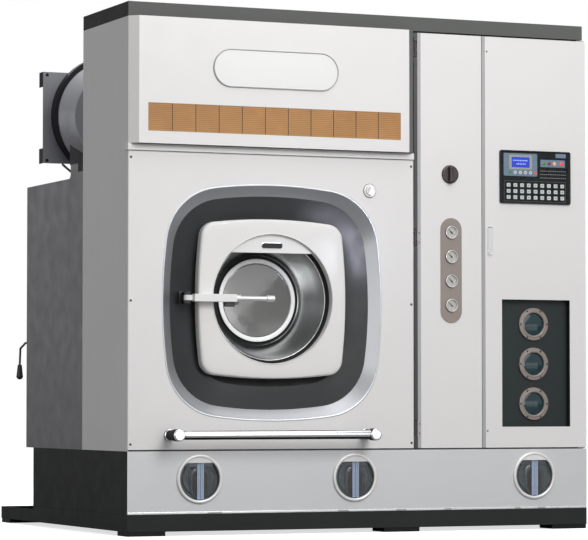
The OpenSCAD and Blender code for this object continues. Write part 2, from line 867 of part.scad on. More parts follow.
module door_shell() {
    wall = 3;
    back = well_d - 4.5;
    color("#e8e5e2") place() translate([door_x, 0, door_z]) difference() {
        union() {
            front(shell_y, back) polygon(soft_square(shell_w, shell_h, shell_bow, shell_corner));
            funnel(shell_w - 2 * shell_slope, shell_h - 2 * shell_slope, shell_w, shell_h,
                2, shell_y + 1, shell_bow, shell_corner);
            bar_y(rim_r, 0, 0, 0, shell_y + 1);
        }
        front(shell_y + wall, back + 1) difference() {
            polygon(soft_square(shell_w - 2 * wall, shell_h - 2 * wall, shell_bow, shell_corner));
            circle(hole_r + wall);
        }
        bar_y(hole_r, 0, 0, -1, back + 1);
    }
}

module door_gasket() {
    back = well_d - 4.5;
    color("#111111") place() spun(door_x, door_z) polygon([
        [hole_r - gasket_t, gasket_y + 2], [hole_r - gasket_t + 2, gasket_y], [hole_r - seat, gasket_y],
        [hole_r - seat, back + seat],
        [rim_r - 1, back + seat], [rim_r - 1, well_d + 3], [hole_r - gasket_t, well_d + 3]
    ]);
}

module door_dish() {
    color("#9aa09f") place() spun(door_x, door_z) polygon([
        [hole_r - gasket_t - seat, dish_y], [hole_r - gasket_t - seat, dish_y + dish_t],
        [dish_r, dish_y + dish_t], [dish_foot_r, dish_foot_y + dish_t], [glass_r - 6, dish_foot_y + dish_t],
        [glass_r - 6, dish_foot_y], [dish_foot_r - 1, dish_foot_y], [dish_r - dish_t, dish_y]
    ]);
}

module door_glass_ring() {
    color("white") place() spun(door_x, door_z) polygon([
        [glass_r, dish_foot_y], [glass_r, glass_ring_y + 2], [glass_r + 2, glass_ring_y],
        [glass_ring_r - 3, glass_ring_y], [glass_ring_r, glass_ring_y + 3], [glass_ring_r, dish_foot_y]
    ]);
}

module door_glass() {
    color("#8c8b8a", 0.6) place()
        bar_y(glass_r - seat, door_x, door_z, dish_foot_y - seat - 6, dish_foot_y - seat);
}

module door_cap() {
    color("#e8ecea") place() translate([door_x, 0, door_z]) {
        front(cap_y, cap_y + 2.5) intersection() {
            circle(hole_r - seat);
            translate([-hole_r, cap_chord]) square(2 * hole_r);
        }
        translate([0, 0, badge_up]) front(cap_y - 2, cap_y + 1) stadium(badge_w, badge_h);
    }
}

module door_arm() {
    half = arm_s / 2;
    fall = (shell_y - 1) / shell_slope;
    eye_h = bracket_h - 2 * ear_t - 1;
    collar_l = 21;
    tip_l = 32;
    color("ivory") place() translate([pin_x, pin_y, door_z]) {
        difference() {
            union() {
                translate([0, 0, -eye_h / 2]) cylinder(r = ear_r - 1, h = eye_h);
                box(0, 30, -8, 4, -eye_h / 2, eye_h / 2);
                box(ear_r + 9, arm_l, -half - 7, half - 7, -half, half);
            }
            translate([0, 0, -eye_h]) cylinder(r = pin_r + run, h = 2 * eye_h);
        }
        // Foot that carries the arm on the door shell
        translate([pin_in - shell_w / 2, -pin_y, -half + 3]) linear_extrude(arm_s - 6) polygon([
            [9, -6], [9, shell_y - 9 * fall - seat], [shell_slope, 2 - 2 * seat],
            [shell_w / 2 - rim_r - 2, 2 - 2 * seat], [shell_w / 2 - rim_r - 2, -6]
        ]);
        // Lug under the arm, over the dish
        box(154, 195, -9, 7, -half - 18, -half + 1);
        translate([arm_l - 1, -7, 0]) rotate([0, 90, 0]) cylinder(r = 11.5, h = collar_l + 1);
        translate([arm_l, -7, 0]) rotate([0, 90, 0]) cylinder(r = rod_r, h = arm_reach - arm_l - 1);
        translate([arm_reach - tip_l, -7, 0]) rotate([0, 90, 0]) cylinder(r = 10, h = tip_l);
    }
}

// ---- Drum and drive ----

module drum_casing() {
    cradle_t = 10;
    cradle_w = 300;
    color("silver") place() {
        difference() {
            bar_y(casing_r, door_x, door_z, casing_y, casing_back_y);
            bar_y(casing_r - casing_t, door_x, door_z, casing_y + casing_t, casing_back_y - casing_t);
            bar_y(mouth_r, door_x, door_z, casing_y - 1, casing_y + casing_t + 1);
            bar_y(shaft_r + 5, door_x, door_z, casing_back_y - casing_t - 1, casing_back_y + 1);
        }
        spun(door_x, door_z) polygon([
            [mouth_r, well_d + 4], [mouth_r + 5, well_d + 4], [mouth_r + 5, casing_y + 1], [mouth_r, casing_y + 1]
        ]);
        // Bearing housing on the back
        spun(door_x, door_z) polygon([
            [shaft_r + run, casing_back_y - 1], [110, casing_back_y - 1], [110, casing_back_y + 12],
            [62, casing_back_y + 22], [58, casing_back_y + bearing_l], [shaft_r + run, casing_back_y + bearing_l]
        ]);
        for (y = [casing_y + 120, casing_back_y - 120]) difference() {
            box(door_x - cradle_w, door_x + cradle_w, y, y + cradle_t, floor_z, door_z - casing_r * 0.72);
            bar_y(casing_r - 1, door_x, door_z, y - 1, y + cradle_t + 1);
        }
    }
}

module drum_basket() {
    front_y = casing_y + casing_t + basket_gap;
    back_y = casing_back_y - casing_t - basket_gap;
    opening_r = mouth_r + 12;
    lifter_h = 60;
    color("lightsteelblue") place() {
        spun(door_x, door_z) polygon([
            [opening_r, front_y], [basket_r, front_y], [basket_r, back_y], [shaft_r, back_y],
            [shaft_r, pulley_y + pulley_w + 4], [0, pulley_y + pulley_w + 4], [0, back_y - basket_t],
            [basket_r - basket_t, back_y - basket_t], [basket_r - basket_t, front_y + basket_t],
            [opening_r, front_y + basket_t]
        ]);
        for (a = [90, 210, 330]) translate([door_x, 0, door_z]) rotate([0, -a, 0])
            box(basket_r - lifter_h, basket_r - basket_t / 2, front_y + 1, back_y - 1, -20, 20);
    }
}

module drum_pulley() {
    groove = belt_t;
    half = (pulley_w - belt_w) / 2 - 1;
    color("dimgray") place() spun(door_x, door_z) polygon([
        [shaft_r, pulley_y], [60, pulley_y], [60, pulley_y + 12], [drum_pulley_r - 25, pulley_y + 12],
        [drum_pulley_r - 25, pulley_y], [drum_pulley_r + groove, pulley_y],
        [drum_pulley_r + groove, pulley_y + half], [drum_pulley_r - seat, pulley_y + half],
        [drum_pulley_r - seat, pulley_y + pulley_w - half], [drum_pulley_r + groove, pulley_y + pulley_w - half],
        [drum_pulley_r + groove, pulley_y + pulley_w], [shaft_r, pulley_y + pulley_w]
    ]);
}

// Outline of a belt that lies round the drum pulley and the motor pulley, grow outside them
function belt_outline(grow) =
    let (
        dx = motor_x - door_x,
        dz = motor_z - door_z,
        line = atan2(dz, dx),
        lean = acos((drum_pulley_r - motor_pulley_r) / sqrt(dx * dx + dz * dz)),
        n = 40,
        big = drum_pulley_r + grow,
        small = motor_pulley_r + grow
    )
    concat(
        [for (i = [0:n]) let (a = line + lean + (360 - 2 * lean) * i / n) [big * cos(a), big * sin(a)]],
        [for (i = [0:n]) let (a = line - lean + 2 * lean * i / n) [dx + small * cos(a), dz + small * sin(a)]]
    );

module drive_belt() {
    side = (pulley_w - belt_w) / 2;
    color("black") place() translate([door_x, 0, door_z]) front(pulley_y + side, pulley_y + side + belt_w)
        difference() {
            polygon(belt_outline(belt_t));
            polygon(belt_outline(0));
        }
}

module drive_motor() {
    foot_w = 150;
    color("steelblue") place() difference() {
        union() {
            bar_y(motor_r, motor_x, motor_z, motor_y, motor_y + motor_l);
            bar_y(40, motor_x, motor_z, motor_y + motor_l - 1, motor_y + motor_l + 12);
            for (y = [motor_y + 30, motor_y + motor_l - 60])
                box(motor_x - foot_w / 2, motor_x + foot_w / 2, y, y + 30, floor_z, motor_z - motor_r * 0.6);
            box(motor_x - 45, motor_x + 45, motor_y + 80, motor_y + 180, motor_z, motor_z + motor_r + 35);
        }
        bar_y(motor_shaft_r + run, motor_x, motor_z, motor_y + motor_l - 60, motor_y + motor_l + 20);
    }
}

module motor_pulley() {
    half = (pulley_w - belt_w) / 2 - 1;
    shaft_y = motor_y + motor_l - 55;
    color("dimgray") place() spun(motor_x, motor_z) polygon([
        [0, shaft_y], [motor_shaft_r, shaft_y], [motor_shaft_r, pulley_y],
        [motor_pulley_r + belt_t, pulley_y], [motor_pulley_r + belt_t, pulley_y + half],
        [motor_pulley_r - seat, pulley_y + half], [motor_pulley_r - seat, pulley_y + pulley_w - half],
        [motor_pulley_r + belt_t, pulley_y + pulley_w - half], [motor_pulley_r + belt_t, pulley_y + pulley_w],
        [0, pulley_y + pulley_w]
    ]);
}

// ---- Gauge door ----

module gauge_door() {
    right = strip_x - door_gap;
    color("gainsboro") place() difference() {
        union() {
            folded_sheet(gauge_x, right, panel_z, door_top_z, door_t);
            for (z = hinge_z) {
                translate([hinge_x, knuckle_r, z - knuckle_mid]) cylinder(r = knuckle_r, h = 2 * knuckle_mid);
                box(hinge_x, gauge_x + 1, knuckle_r - 3, knuckle_r + 3, z - knuckle_mid, z + knuckle_mid);
                for (s = [-1, 1]) bar_y(3, gauge_x + 11, z + s * 19, -1.2, 1);
            }
            bar_y(14, gauge_row_x - 4, switch_z, 1, 14);
        }
        for (z = hinge_z) translate([hinge_x, knuckle_r, z - hinge_h]) cylinder(r = hinge_pin_r + run, h = 2 * hinge_h);
        for (z = gauge_z) bar_y(gauge_can_r + 1, gauge_row_x, z, -1, sheet_t + 1);
        bar_y(5 + run, gauge_row_x - 4, switch_z, -2, 20);
    }
}

module gauge_plate() {
    color("#90877f") place() difference() {
        translate([gauge_row_x, 0, gauge_plate_z]) front(-3, 0) stadium(gauge_plate_w, gauge_plate_h);
        for (z = gauge_z) bar_y(gauge_can_r + seat, gauge_row_x, z, -5, 5);
    }
}

module gauge_cases() {
    bore_r = 1.5 + run;
    color("silver") place() for (z = gauge_z) spun(gauge_row_x, z) polygon([
        [bore_r, dial_y], [gauge_r - 3.5, dial_y], [gauge_r - 3.5, gauge_front_y], [gauge_r - 1, gauge_front_y],
        [gauge_r, gauge_front_y + 1], [gauge_r, -3 - seat], [gauge_can_r, -3 - seat],
        [gauge_can_r, gauge_back_y], [0, gauge_back_y], [0, 2], [bore_r, 2]
    ]);
}

module gauge_glasses() {
    color("white", 0.3) place() for (z = gauge_z)
        bar_y(gauge_r - 3.5 - seat, gauge_row_x, z, gauge_front_y + 0.2, gauge_front_y + 1.6);
}

module needle(i) {
    front_y = -6.6;
    color("black") place() translate([gauge_row_x, 0, gauge_z[i]]) {
        bar_y(1.5, 0, 0, front_y + 1, 1.5);
        bar_y(3, 0, 0, front_y, front_y + 1.4);
        rotate([0, -needle_angle, 0]) front(front_y + 0.3, front_y + 1.1)
            polygon([[-8, -1.6], [-8, 1.6], [17, 0.4], [17, -0.4]]);
    }
}

module needle_1() { needle(0); }
module needle_2() { needle(1); }
module needle_3() { needle(2); }
module needle_4() { needle(3); }

module main_switch_knob() {
    color("#4b413e") place() translate([gauge_row_x - 4, 0, switch_z]) {
        bar_y(switch_r, 0, 0, -8, -1);
        front(-22, -7) soft_rect(18, 2 * switch_r - 8, 5);
        bar_y(5, 0, 0, -2, 20);
        bar_y(9, 0, 0, 16, 18);
    }
}

// ---- Control door ----

module control_door() {
    left = control_x;
    right = control_x + control_door_w;
    cup_d = 14;
    cup_half = paddle_w / 2 + cup_gap + cup_wall;
    color("gainsboro") place() difference() {
        union() {
            folded_sheet(left, right, panel_z, door_top_z, door_t);
            // Blocks for the pivot pins
            for (z = [panel_z + 1, door_top_z - 17])
                box(right - 22, right - 1, 1, door_t, z, z + 16);
            // Turned-in edge of the window
            box(sight_x - sight_w / 2 - sheet_t, sight_x + sight_w / 2 + sheet_t, 0, door_t,
                sight_z - sight_h / 2 - sheet_t, sight_z + sight_h / 2 + sheet_t);
            // Cup behind the latch
            box(latch_x - cup_half, latch_x + cup_half, 1, cup_d, latch_button_z - 10, latch_top_z + 8);
            for (z = [panel_z + 65, door_top_z - 61]) bar_y(3, left + 11, z, -1.2, 1);
        }
        box(sight_x - sight_w / 2, sight_x + sight_w / 2, -1, door_t + 1, sight_z - sight_h / 2, sight_z + sight_h / 2);
        box(ctl_x - ctl_w / 2 + 12, ctl_x + ctl_w / 2 - 12, -1, sheet_t + 1,
            ctl_z - ctl_h / 2 + 12, ctl_z + ctl_h / 2 - 12);
        box(latch_x - paddle_w / 2 - cup_gap, latch_x + paddle_w / 2 + cup_gap, -1, cup_d - cup_wall,
            latch_foot_z - cup_gap, latch_top_z + 4);
        translate([latch_x - cup_half + 0.3, latch_pin_y, latch_top_z]) rotate([0, 90, 0])
            cylinder(r = latch_pin_r + run, h = 2 * cup_half - 0.6);
        bar_y(latch_button_r + run, latch_x, latch_button_z, -1, cup_d - 2);
        translate([pivot_x, door_t / 2, panel_z - 5]) cylinder(r = 4 + run, h = 17);
        translate([pivot_x, door_t / 2, door_top_z - 12]) cylinder(r = 4 + run, h = 17);
    }
}

module controller() {
    rim_y = -8;
    lamp = [0.6, 0.68, 0.76, 0.86];
    color("#1d2022") place() translate([ctl_x, 0, ctl_z]) {
        difference() {
            front(rim_y, 0) soft_rect(ctl_w, ctl_h, 9);
            front(rim_y - 1, rim_y + 2) soft_rect(ctl_w - 18, ctl_h - 18, 6);
        }
        box(-ctl_w / 2 + 13, ctl_w / 2 - 13, -1, 34, -ctl_h / 2 + 13, ctl_h / 2 - 13);
        // Display with its frame, and the strip of lamps
        box(-ctl_w * 0.39, -ctl_w * 0.03, rim_y + 1.2, rim_y + 3, ctl_h * 0.05, ctl_h * 0.41);
        box(-ctl_w * 0.33, -ctl_w * 0.09, rim_y + 0.4, rim_y + 2, ctl_h * 0.17, ctl_h * 0.37);
        box(ctl_w * 0.06, ctl_w * 0.42, rim_y + 1.2, rim_y + 3, ctl_h * 0.2, ctl_h * 0.34);
        for (f = lamp) bar_y(7, ctl_w * (f - 0.5), ctl_h * 0.27, rim_y - 0.5, rim_y + 2);
    }
}

module controller_keys() {
    face_y = -6;
    key_w = 17;
    key_h = 15;
    pitch_x = ctl_w * 0.095;
    pitch_z = ctl_h * 0.115;
    first_z = -ctl_h * 0.155;
    color("#b9bfc2") place() translate([ctl_x, 0, ctl_z]) {
        for (c = [0:key_cols - 1], r = [0:key_rows - 1])
            translate([(c - (key_cols - 1) / 2) * pitch_x, 0, first_z - r * pitch_z])
                front(face_y - 0.9, face_y) soft_rect(key_w, key_h, 2.5);
        for (i = [0:5]) bar_y(7, -ctl_w * 0.385 + 8 + i * 23.4, ctl_h * 0.083, face_y - 2.2, face_y - 0.8);
    }
}

module latch_plate() {
    color("silver") place() difference() {
        translate([latch_x, 0, latch_z]) front(-2, 0) soft_rect(latch_w, latch_h, 9);
        box(latch_x - paddle_w / 2 - cup_gap, latch_x + paddle_w / 2 + cup_gap, -3, 1,
            latch_foot_z - cup_gap, latch_top_z + 4);
        bar_y(latch_button_r + run, latch_x, latch_button_z, -3, 1);
    }
}

module latch_paddle() {
    half = paddle_w / 2;
    color("silver") place() {
        box(latch_x - half, latch_x + half, -2, 2, latch_foot_z, latch_top_z + 1);
        translate([latch_x - half, latch_pin_y, latch_top_z]) rotate([0, 90, 0]) cylinder(r = 3, h = paddle_w);
        translate([latch_x - half - 2.5, latch_pin_y, latch_top_z]) rotate([0, 90, 0])
            cylinder(r = latch_pin_r, h = paddle_w + 5);
    }
}

module latch_button() {
    color("gray") place() bar_y(latch_button_r, latch_x, latch_button_z, -5, 8);
}

// ---- Rear housing, still and blower ----

// Side of the rear housing in Y and Z, with the upstand beside the cabinet
module housing_side() {
    front_y = cabinet_d + seat;
    tab_y = front_y + 62;
    tab_l = 92;
    r = 20;
    difference() {
        union() {
            translate([front_y, floor_z]) square([housing_d - front_y, housing_z - floor_z]);
            translate([front_y, housing_z - 1]) square([tab_l + tab_y - front_y + r, r + 1]);
            translate([tab_y + 8, housing_z]) square([tab_l - 16, upstand_h]);
            translate([tab_y, housing_z]) square([tab_l, upstand_h - 8]);
            for (y = [tab_y + 8, tab_y + tab_l - 8]) translate([y, housing_z + upstand_h - 8]) circle(8);
        }
        translate([tab_y + tab_l + r, housing_z + r]) circle(r);
    }
}

module rear_housing() {
    left = sheet_t;
    right = body_w - 2 * sheet_t;
    duct_left = fan_x + fan_r + fan_growth - duct_w;
    color("#5d5c62") place() {
        for (x = [left, right]) translate([x, 0, 0]) rotate([90, 0, 90]) linear_extrude(sheet_t) housing_side();
        difference() {
            box(left, right + sheet_t, cabinet_d + seat, housing_d, housing_z - sheet_t, housing_z);
            box(duct_left + 4, duct_left + duct_w - 4, fan_y + 4, fan_back_y - 4, housing_z - 5, housing_z + 5);
        }
        // Gusset beside the cabinet, and the flat brace behind it
        translate([left + sheet_t - 1, cabinet_d, housing_z]) rotate([90, 0, 90]) linear_extrude(3)
            polygon([[15, 12], [15, 93], [168, 137], [168, 58], [90, 12]]);
        translate([left + sheet_t - 1, cabinet_d, housing_z]) rotate([90, 0, 90]) linear_extrude(3)
            polygon([[150, 20], [150, 30], [268, 72], [268, 62]]);
    }
}

module rear_cover() {
    left = sheet_t;
    right = body_w - sheet_t;
    back = housing_d + seat + sheet_t;
    louvre_w = 360;
    louvre_h = 14;
    louvre_pitch = 36;
    louvre_p = 9;
    louvre_n = 8;
    louvre_down = 360;
    hatch_w = 520;
    hatch_h = 550;
    hatch_z = floor_z + 90;
    handle_w = 24;
    handle_h = 110;
    handle_p = 14;
    handle_in = 60;
    handle_z = floor_z + 310;
    gland_r = 11;
    gland_wall = 9;
    gland_p = 22;
    gland_x = body_w * 0.86;
    union_z = floor_z + 180;
    union_pitch = 50;
    union_p = 40;
    union_r = [17, 17, 13, 13];
    union_wall = 4;
    color("#5d5c62") place() difference() {
        union() {
            box(left, right, housing_d + seat, back, floor_z, housing_z);
            for (cx = [body_w * 0.3, body_w * 0.72])
                box(cx - hatch_w / 2, cx + hatch_w / 2, back - 1, back + sheet_t, hatch_z, hatch_z + hatch_h);
            for (cx = [body_w * 0.3, body_w * 0.72], i = [0:louvre_n - 1])
                translate([0, 0, housing_z - louvre_down + i * louvre_pitch])
                    box(cx - louvre_w / 2, cx + louvre_w / 2, back - 1, back + louvre_p, 0, louvre_h);
            for (cx = [body_w * 0.3, body_w * 0.72]) translate([cx + hatch_w / 2 - handle_in, 0, handle_z])
                box(0, handle_w, back, back + handle_p, 0, handle_h);
            // Water and steam unions
            for (i = [0:3])
                bar_y(union_r[i], body_w / 2 + (i - 1.5) * union_pitch, union_z, back - 1, back + union_p);
            // Gland for the supply cable
            bar_y(gland_r + gland_wall, gland_x, union_z, back - 1, back + gland_p);
        }
        for (i = [0:3]) bar_y(union_r[i] - union_wall, body_w / 2 + (i - 1.5) * union_pitch, union_z,
            back - 5, back + union_p + 1);
        bar_y(gland_r, gland_x, union_z, back - 5, back + gland_p + 1);
        bar_y(12, valve_x, floor_z + valve_up, housing_d - 1, back + 1);
    }
}

module drain_valve() {
    z = floor_z + valve_up;
    back = housing_d + seat + sheet_t;
    color("goldenrod") place() difference() {
        union() {
            box(valve_x - 24, valve_x + 24, housing_d - 70, housing_d - 6, z - 26, z + 26);
            bar_y(18, valve_x, z, housing_d - 7, housing_d);
            bar_y(11, valve_x, z, housing_d - 1, back + 6);
            translate([valve_x, housing_d - 38, floor_z]) cylinder(r = 16, h = valve_up);
        }
        bar_y(6 + run, valve_x, z, housing_d - 40, back + 10);
    }
}

module valve_lever() {
    z = floor_z + valve_up;
    back = housing_d + seat + sheet_t;
    knee = [lever_reach - 75, -4];
    bend = [lever_reach - 8, -26];
    tail = [lever_reach, -95];
    foot = [lever_reach, -143];
    r = 4.5;
    grip_r = [9, 14];
    color("dimgray") place() translate([valve_x, back + 7, z]) {
        bar_y(6, 0, 0, -40, 2);
        bar_y(13, 0, 0, 0, 12);
        rod([0, 6, 0], [0, knee[0], knee[1]], r, r);
        rod([0, knee[0], knee[1]], [0, bend[0], bend[1]], r, r);
        rod([0, bend[0], bend[1]], [0, tail[0], tail[1]], r, r);
        rod([0, tail[0], tail[1]], [0, foot[0], foot[1]], grip_r[0], grip_r[1]);
    }
}

// A round bar between two points of one X, r1 thick at a and r2 at b, with a ball at b
module rod(a, b, r1, r2) {
    d = b - a;
    translate(a) rotate([-atan2(d[1], d[2]), 0, 0]) cylinder(r1 = r1, r2 = r2, h = norm(d));
    translate(b) sphere(r2 + 0.4);
}

module distillation_still() {
    x = body_w * 0.79;
    y = (cabinet_d + housing_d) / 2;
    r = 210;
    leg = 130;
    h = 700;
    wall = 5;
    neck_r = 80;
    cone_h = 90;
    color("silver") place() translate([x, y, floor_z + leg]) {
        difference() {
            union() {
                cylinder(r = r, h = h);
                translate([0, 0, h - 1]) cylinder(r = r + 22, h = 16);
                translate([0, 0, h + 14]) cylinder(r1 = r, r2 = neck_r, h = cone_h);
            }
            translate([0, 0, wall]) cylinder(r = r - wall, h = h + 14 - wall);
            translate([0, 0, h + 13]) cylinder(r1 = r - wall, r2 = neck_r - 2 * wall, h = cone_h - wall);
        }
        translate([0, 0, h + 13 + cone_h]) cylinder(r = 45, h = 50);
        for (a = [45:90:315]) translate([(r - 40) * cos(a), (r - 40) * sin(a), -leg]) cylinder(r = 18, h = leg + 1);
    }
}

module solvent_filter() {
    x = body_w * 0.615;
    y = housing_d - 160;
    r = 105;
    h = 620;
    wall = 4;
    color("lightsteelblue") place() translate([x, y, floor_z]) difference() {
        union() {
            cylinder(r = r + 25, h = 12);
            cylinder(r = r, h = h);
            translate([0, 0, h - 1]) cylinder(r = r + 18, h = 26);
            translate([0, 0, h + 24]) cylinder(r = 60, h = 40);
        }
        translate([0, 0, 12]) cylinder(r = r - wall, h = h - 8);
    }
}

// Outline of the blower housing, d inside: a spiral that ends in a duct down to the housing
module volute(d) {
    n = 36;
    out_x = fan_r + fan_growth;
    foot = housing_z - fan_z + 2 * d;
    polygon(concat(
        [[out_x - duct_w + d, foot - 3 * d]],
        [for (i = [-4:n]) let (a = 270 - 270 * i / n, r = fan_r + fan_growth * max(i, 0) / n - d) [r * cos(a), r * sin(a)]],
        [[out_x - d, foot - 3 * d]]
    ));
}

module fan_housing() {
    wall = 3;
    cover_r = fan_r + 2;
    face_y = fan_y - fan_cover_d;
    color("#6c6e77") place() {
        difference() {
            translate([fan_x, 0, fan_z]) front(fan_y, fan_back_y) volute(0);
            translate([fan_x, 0, fan_z]) front(fan_y + wall, fan_back_y - wall) volute(wall);
            bar_y(fan_r - 20, fan_x, fan_z, fan_y - 1, fan_y + wall + 1);
            bar_y(fan_shaft_r + 4, fan_x, fan_z, fan_back_y - wall - 1, fan_back_y + 1);
        }
        spun(fan_x, fan_z) polygon([
            [fan_r - 20, fan_y], [fan_face_r - 1, face_y + wall], [0, face_y + wall], [0, face_y],
            [fan_face_r, face_y], [cover_r - 5, fan_y - 2], [cover_r - 5, fan_y], [fan_r - 20, fan_y + 1]
        ]);
    }
}

module fan_plate() {
    y0 = fan_back_y + seat;
    t = 3;
    left = fan_x - plate_w / 2;
    tab = 62;
    tab_d = 50;
    leg_w = 60;
    leg_in = 175;
    foot_d = 70;
    bolt_r = 5;
    bolt_in = [18, 12];
    color("#62646c") place() difference() {
        union() {
            box(left, left + plate_w, y0, y0 + t, fan_z - plate_h / 2, fan_z + plate_h / 2);
            for (z = [fan_z - plate_h / 2, fan_z + plate_h / 2 - tab], x = [left, left + plate_w - t])
                box(x, x + t, y0, y0 + tab_d, z, z + tab);
            // Legs down to the rear housing
            for (x = [left + leg_in, left + plate_w - leg_in]) {
                box(x - leg_w / 2, x + leg_w / 2, y0, y0 + t, housing_z, fan_z - plate_h / 2 + 1);
                box(x - leg_w / 2, x + leg_w / 2, y0, y0 + foot_d, housing_z, housing_z + t);
            }
        }
        bar_y(fan_shaft_r + 6, fan_x, fan_z, y0 - 1, y0 + t + 1);
        for (sx = [-1, 1], sz = [-1, 1])
            bar_y(bolt_r, fan_x + sx * (plate_w / 2 - bolt_in[0]), fan_z + sz * (plate_h / 2 - bolt_in[1]),
                y0 - 1, y0 + t + 1);
    }
}

module fan_motor() {
    y0 = fan_back_y + seat + 3;
    color("slategray") place() difference() {
        union() {
            bar_y(fan_motor_r, fan_x, fan_z, y0 + 12, y0 + fan_motor_l);
            bar_y(fan_motor_r + 25, fan_x, fan_z, y0, y0 + 13);
            box(fan_x - 50, fan_x + 50, y0 + 60, y0 + 150, fan_z, fan_z + fan_motor_r + 40);
        }
        bar_y(fan_shaft_r + run, fan_x, fan_z, y0 - 1, y0 + 90);
    }
}

module fan_wheel() {
    front_y = fan_y + 7;
    back_y = fan_back_y - 8;
    plate = 2;
    color("lightgray") place() {
        bar_y(wheel_r, fan_x, fan_z, back_y - plate, back_y);
        bar_y(fan_shaft_r, fan_x, fan_z, front_y, fan_back_y + 85);
        bar_y(32, fan_x, fan_z, front_y + 5, back_y);
        for (i = [0:blades - 1]) translate([fan_x, 0, fan_z]) rotate([0, 360 * i / blades, 0])
            rotate([0, 0, 0]) box(70, wheel_r - 4, front_y, back_y - 1, -1, 1);
    }
}

skid_base();
floor_pads();
solvent_tank();
tank_bezels();
sight_glasses();
level_scales();
cabinet_frame();
side_panels();
top_lid();
fascia();
fascia_grille();
name_plaque();
front_panel();
door_bezel();
door_well();
hinge_bracket();
handrail();
button_escutcheon();
release_button();
sight_panel();
porthole_flanges();
panel_screws();
rear_housing();
rear_cover();
drum_casing();
drum_basket();
drum_pulley();
drive_belt();
drive_motor();
motor_pulley();
fan_housing();
fan_plate();
fan_motor();
fan_wheel();
distillation_still();
solvent_filter();
drain_valve();
valve_lever();
door_shell();
door_gasket();
door_dish();
door_glass_ring();
door_glass();
door_cap();
door_arm();
gauge_door();
gauge_plate();
gauge_cases();
gauge_glasses();
needle_1();
needle_2();
needle_3();
needle_4();
main_switch_knob();
control_door();
controller();
controller_keys();
latch_plate();
latch_paddle();
latch_button();
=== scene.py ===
# %% [markdown]
# # Dressing a dry cleaning machine
# The imported CAD model is the frame of this scene: every piece below takes its place and size from
# it. We load it first, and keep its box. All the machine's sizes are read in millimetres from one
# corner: the foot of the cabinet's front left edge, with x to the right, y to the back and z up.

# %% Load the frame
import json
from math import atan2, cos, hypot, pi, radians, sin, sqrt
import bmesh
import bpy
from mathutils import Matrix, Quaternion, Vector


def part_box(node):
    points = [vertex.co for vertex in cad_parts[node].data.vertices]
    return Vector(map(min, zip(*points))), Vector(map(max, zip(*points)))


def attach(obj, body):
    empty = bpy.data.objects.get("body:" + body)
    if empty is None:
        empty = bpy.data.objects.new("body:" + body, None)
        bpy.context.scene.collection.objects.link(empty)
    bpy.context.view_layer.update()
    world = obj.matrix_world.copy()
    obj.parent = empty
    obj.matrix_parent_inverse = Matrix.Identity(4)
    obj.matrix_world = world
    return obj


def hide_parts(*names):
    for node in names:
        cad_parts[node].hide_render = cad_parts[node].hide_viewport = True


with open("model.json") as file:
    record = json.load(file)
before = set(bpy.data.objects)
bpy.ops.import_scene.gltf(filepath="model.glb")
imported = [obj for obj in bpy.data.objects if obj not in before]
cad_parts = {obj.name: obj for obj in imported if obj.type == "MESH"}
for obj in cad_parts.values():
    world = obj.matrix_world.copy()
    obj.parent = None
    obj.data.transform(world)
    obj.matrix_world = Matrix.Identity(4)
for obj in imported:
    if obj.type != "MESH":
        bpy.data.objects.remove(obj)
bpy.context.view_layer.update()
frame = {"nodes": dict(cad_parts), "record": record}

nodes = frame["nodes"]
MM = 0.001
CORNER = Vector((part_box("side_panels")[0].x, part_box("side_panels")[0].y, 0))


def at(x, y, z):
    """A place in metres, from millimetres measured at the cabinet's front left foot."""
    return CORNER + Vector((x, y, z)) * MM


def span(node):
    """Where a CAD node begins and ends, in those millimetres: x0, x1, y0, y1, z0, z1."""
    low, high = [(corner - CORNER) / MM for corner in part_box(node)]
    return low.x, high.x, low.y, high.y, low.z, high.z


# %% [markdown]
# ## The camera
# The photograph was taken from the left with a long lens, a little above knee height and
# tilted up. Its place was worked out from the machine's corners. A long lens far away keeps
# the sides nearly parallel, so we keep the distance and the lens, and move nothing else.

# %% Camera
LENS = 182.66
CAMERA_PLACE = (-3937.9, -10696.7, 509.3)
TILT_UP = 2.551
TURN_RIGHT = 23.404

bpy.ops.object.camera_add(
    location=at(*CAMERA_PLACE), rotation=(radians(90 + TILT_UP), 0, radians(-TURN_RIGHT))
)
camera = bpy.context.object
camera.name = "camera"
camera.data.lens = LENS
camera.data.clip_end = 100
bpy.context.scene.camera = camera
print("camera: %.1f mm lens, tilted up %.2f degrees" % (LENS, TILT_UP))

# %% [markdown]
# ## Light
# In the photograph the front is bright and the left side lies in shade. So the main lamp
# hangs high in front, wholly to the right of the side's plane, and the side gets only what
# the room gives it. A wide soft lamp above makes every wall a little brighter at its top.
# The room itself is white to the eye, softer as a light, and a middle grey in mirrors: the
# Light Path node tells these three apart. The Standard view keeps white paint white.

# %% The room
SEEN, GIVEN, MIRRORED = 1.0, 0.36, 0.58
bpy.context.scene.view_settings.view_transform = "Standard"
world = bpy.data.worlds.new("studio")
bpy.context.scene.world = world
world.use_nodes = True
room = world.node_tree


def feed(tree, value, socket):
    """Link value to the socket if it comes from a node, and else set it there."""
    if isinstance(value, bpy.types.NodeSocket):
        tree.links.new(value, socket)
    else:
        socket.default_value = value


def choose(tree, factor, low, high):
    """low where factor is 0, high where it is 1. Either may be a number or a socket."""
    node = tree.nodes.new("ShaderNodeMix")
    tree.links.new(factor, node.inputs["Factor"])
    feed(tree, low, node.inputs["A"])
    feed(tree, high, node.inputs["B"])
    return node.outputs["Result"]


ray = room.nodes.new("ShaderNodeLightPath").outputs
unseen = choose(room, ray["Is Glossy Ray"], GIVEN, MIRRORED)
strength = choose(room, ray["Is Camera Ray"], unseen, SEEN)
room.links.new(strength, room.nodes["Background"].inputs["Strength"])
room.nodes["Background"].inputs["Color"].default_value = (1, 1, 1, 1)

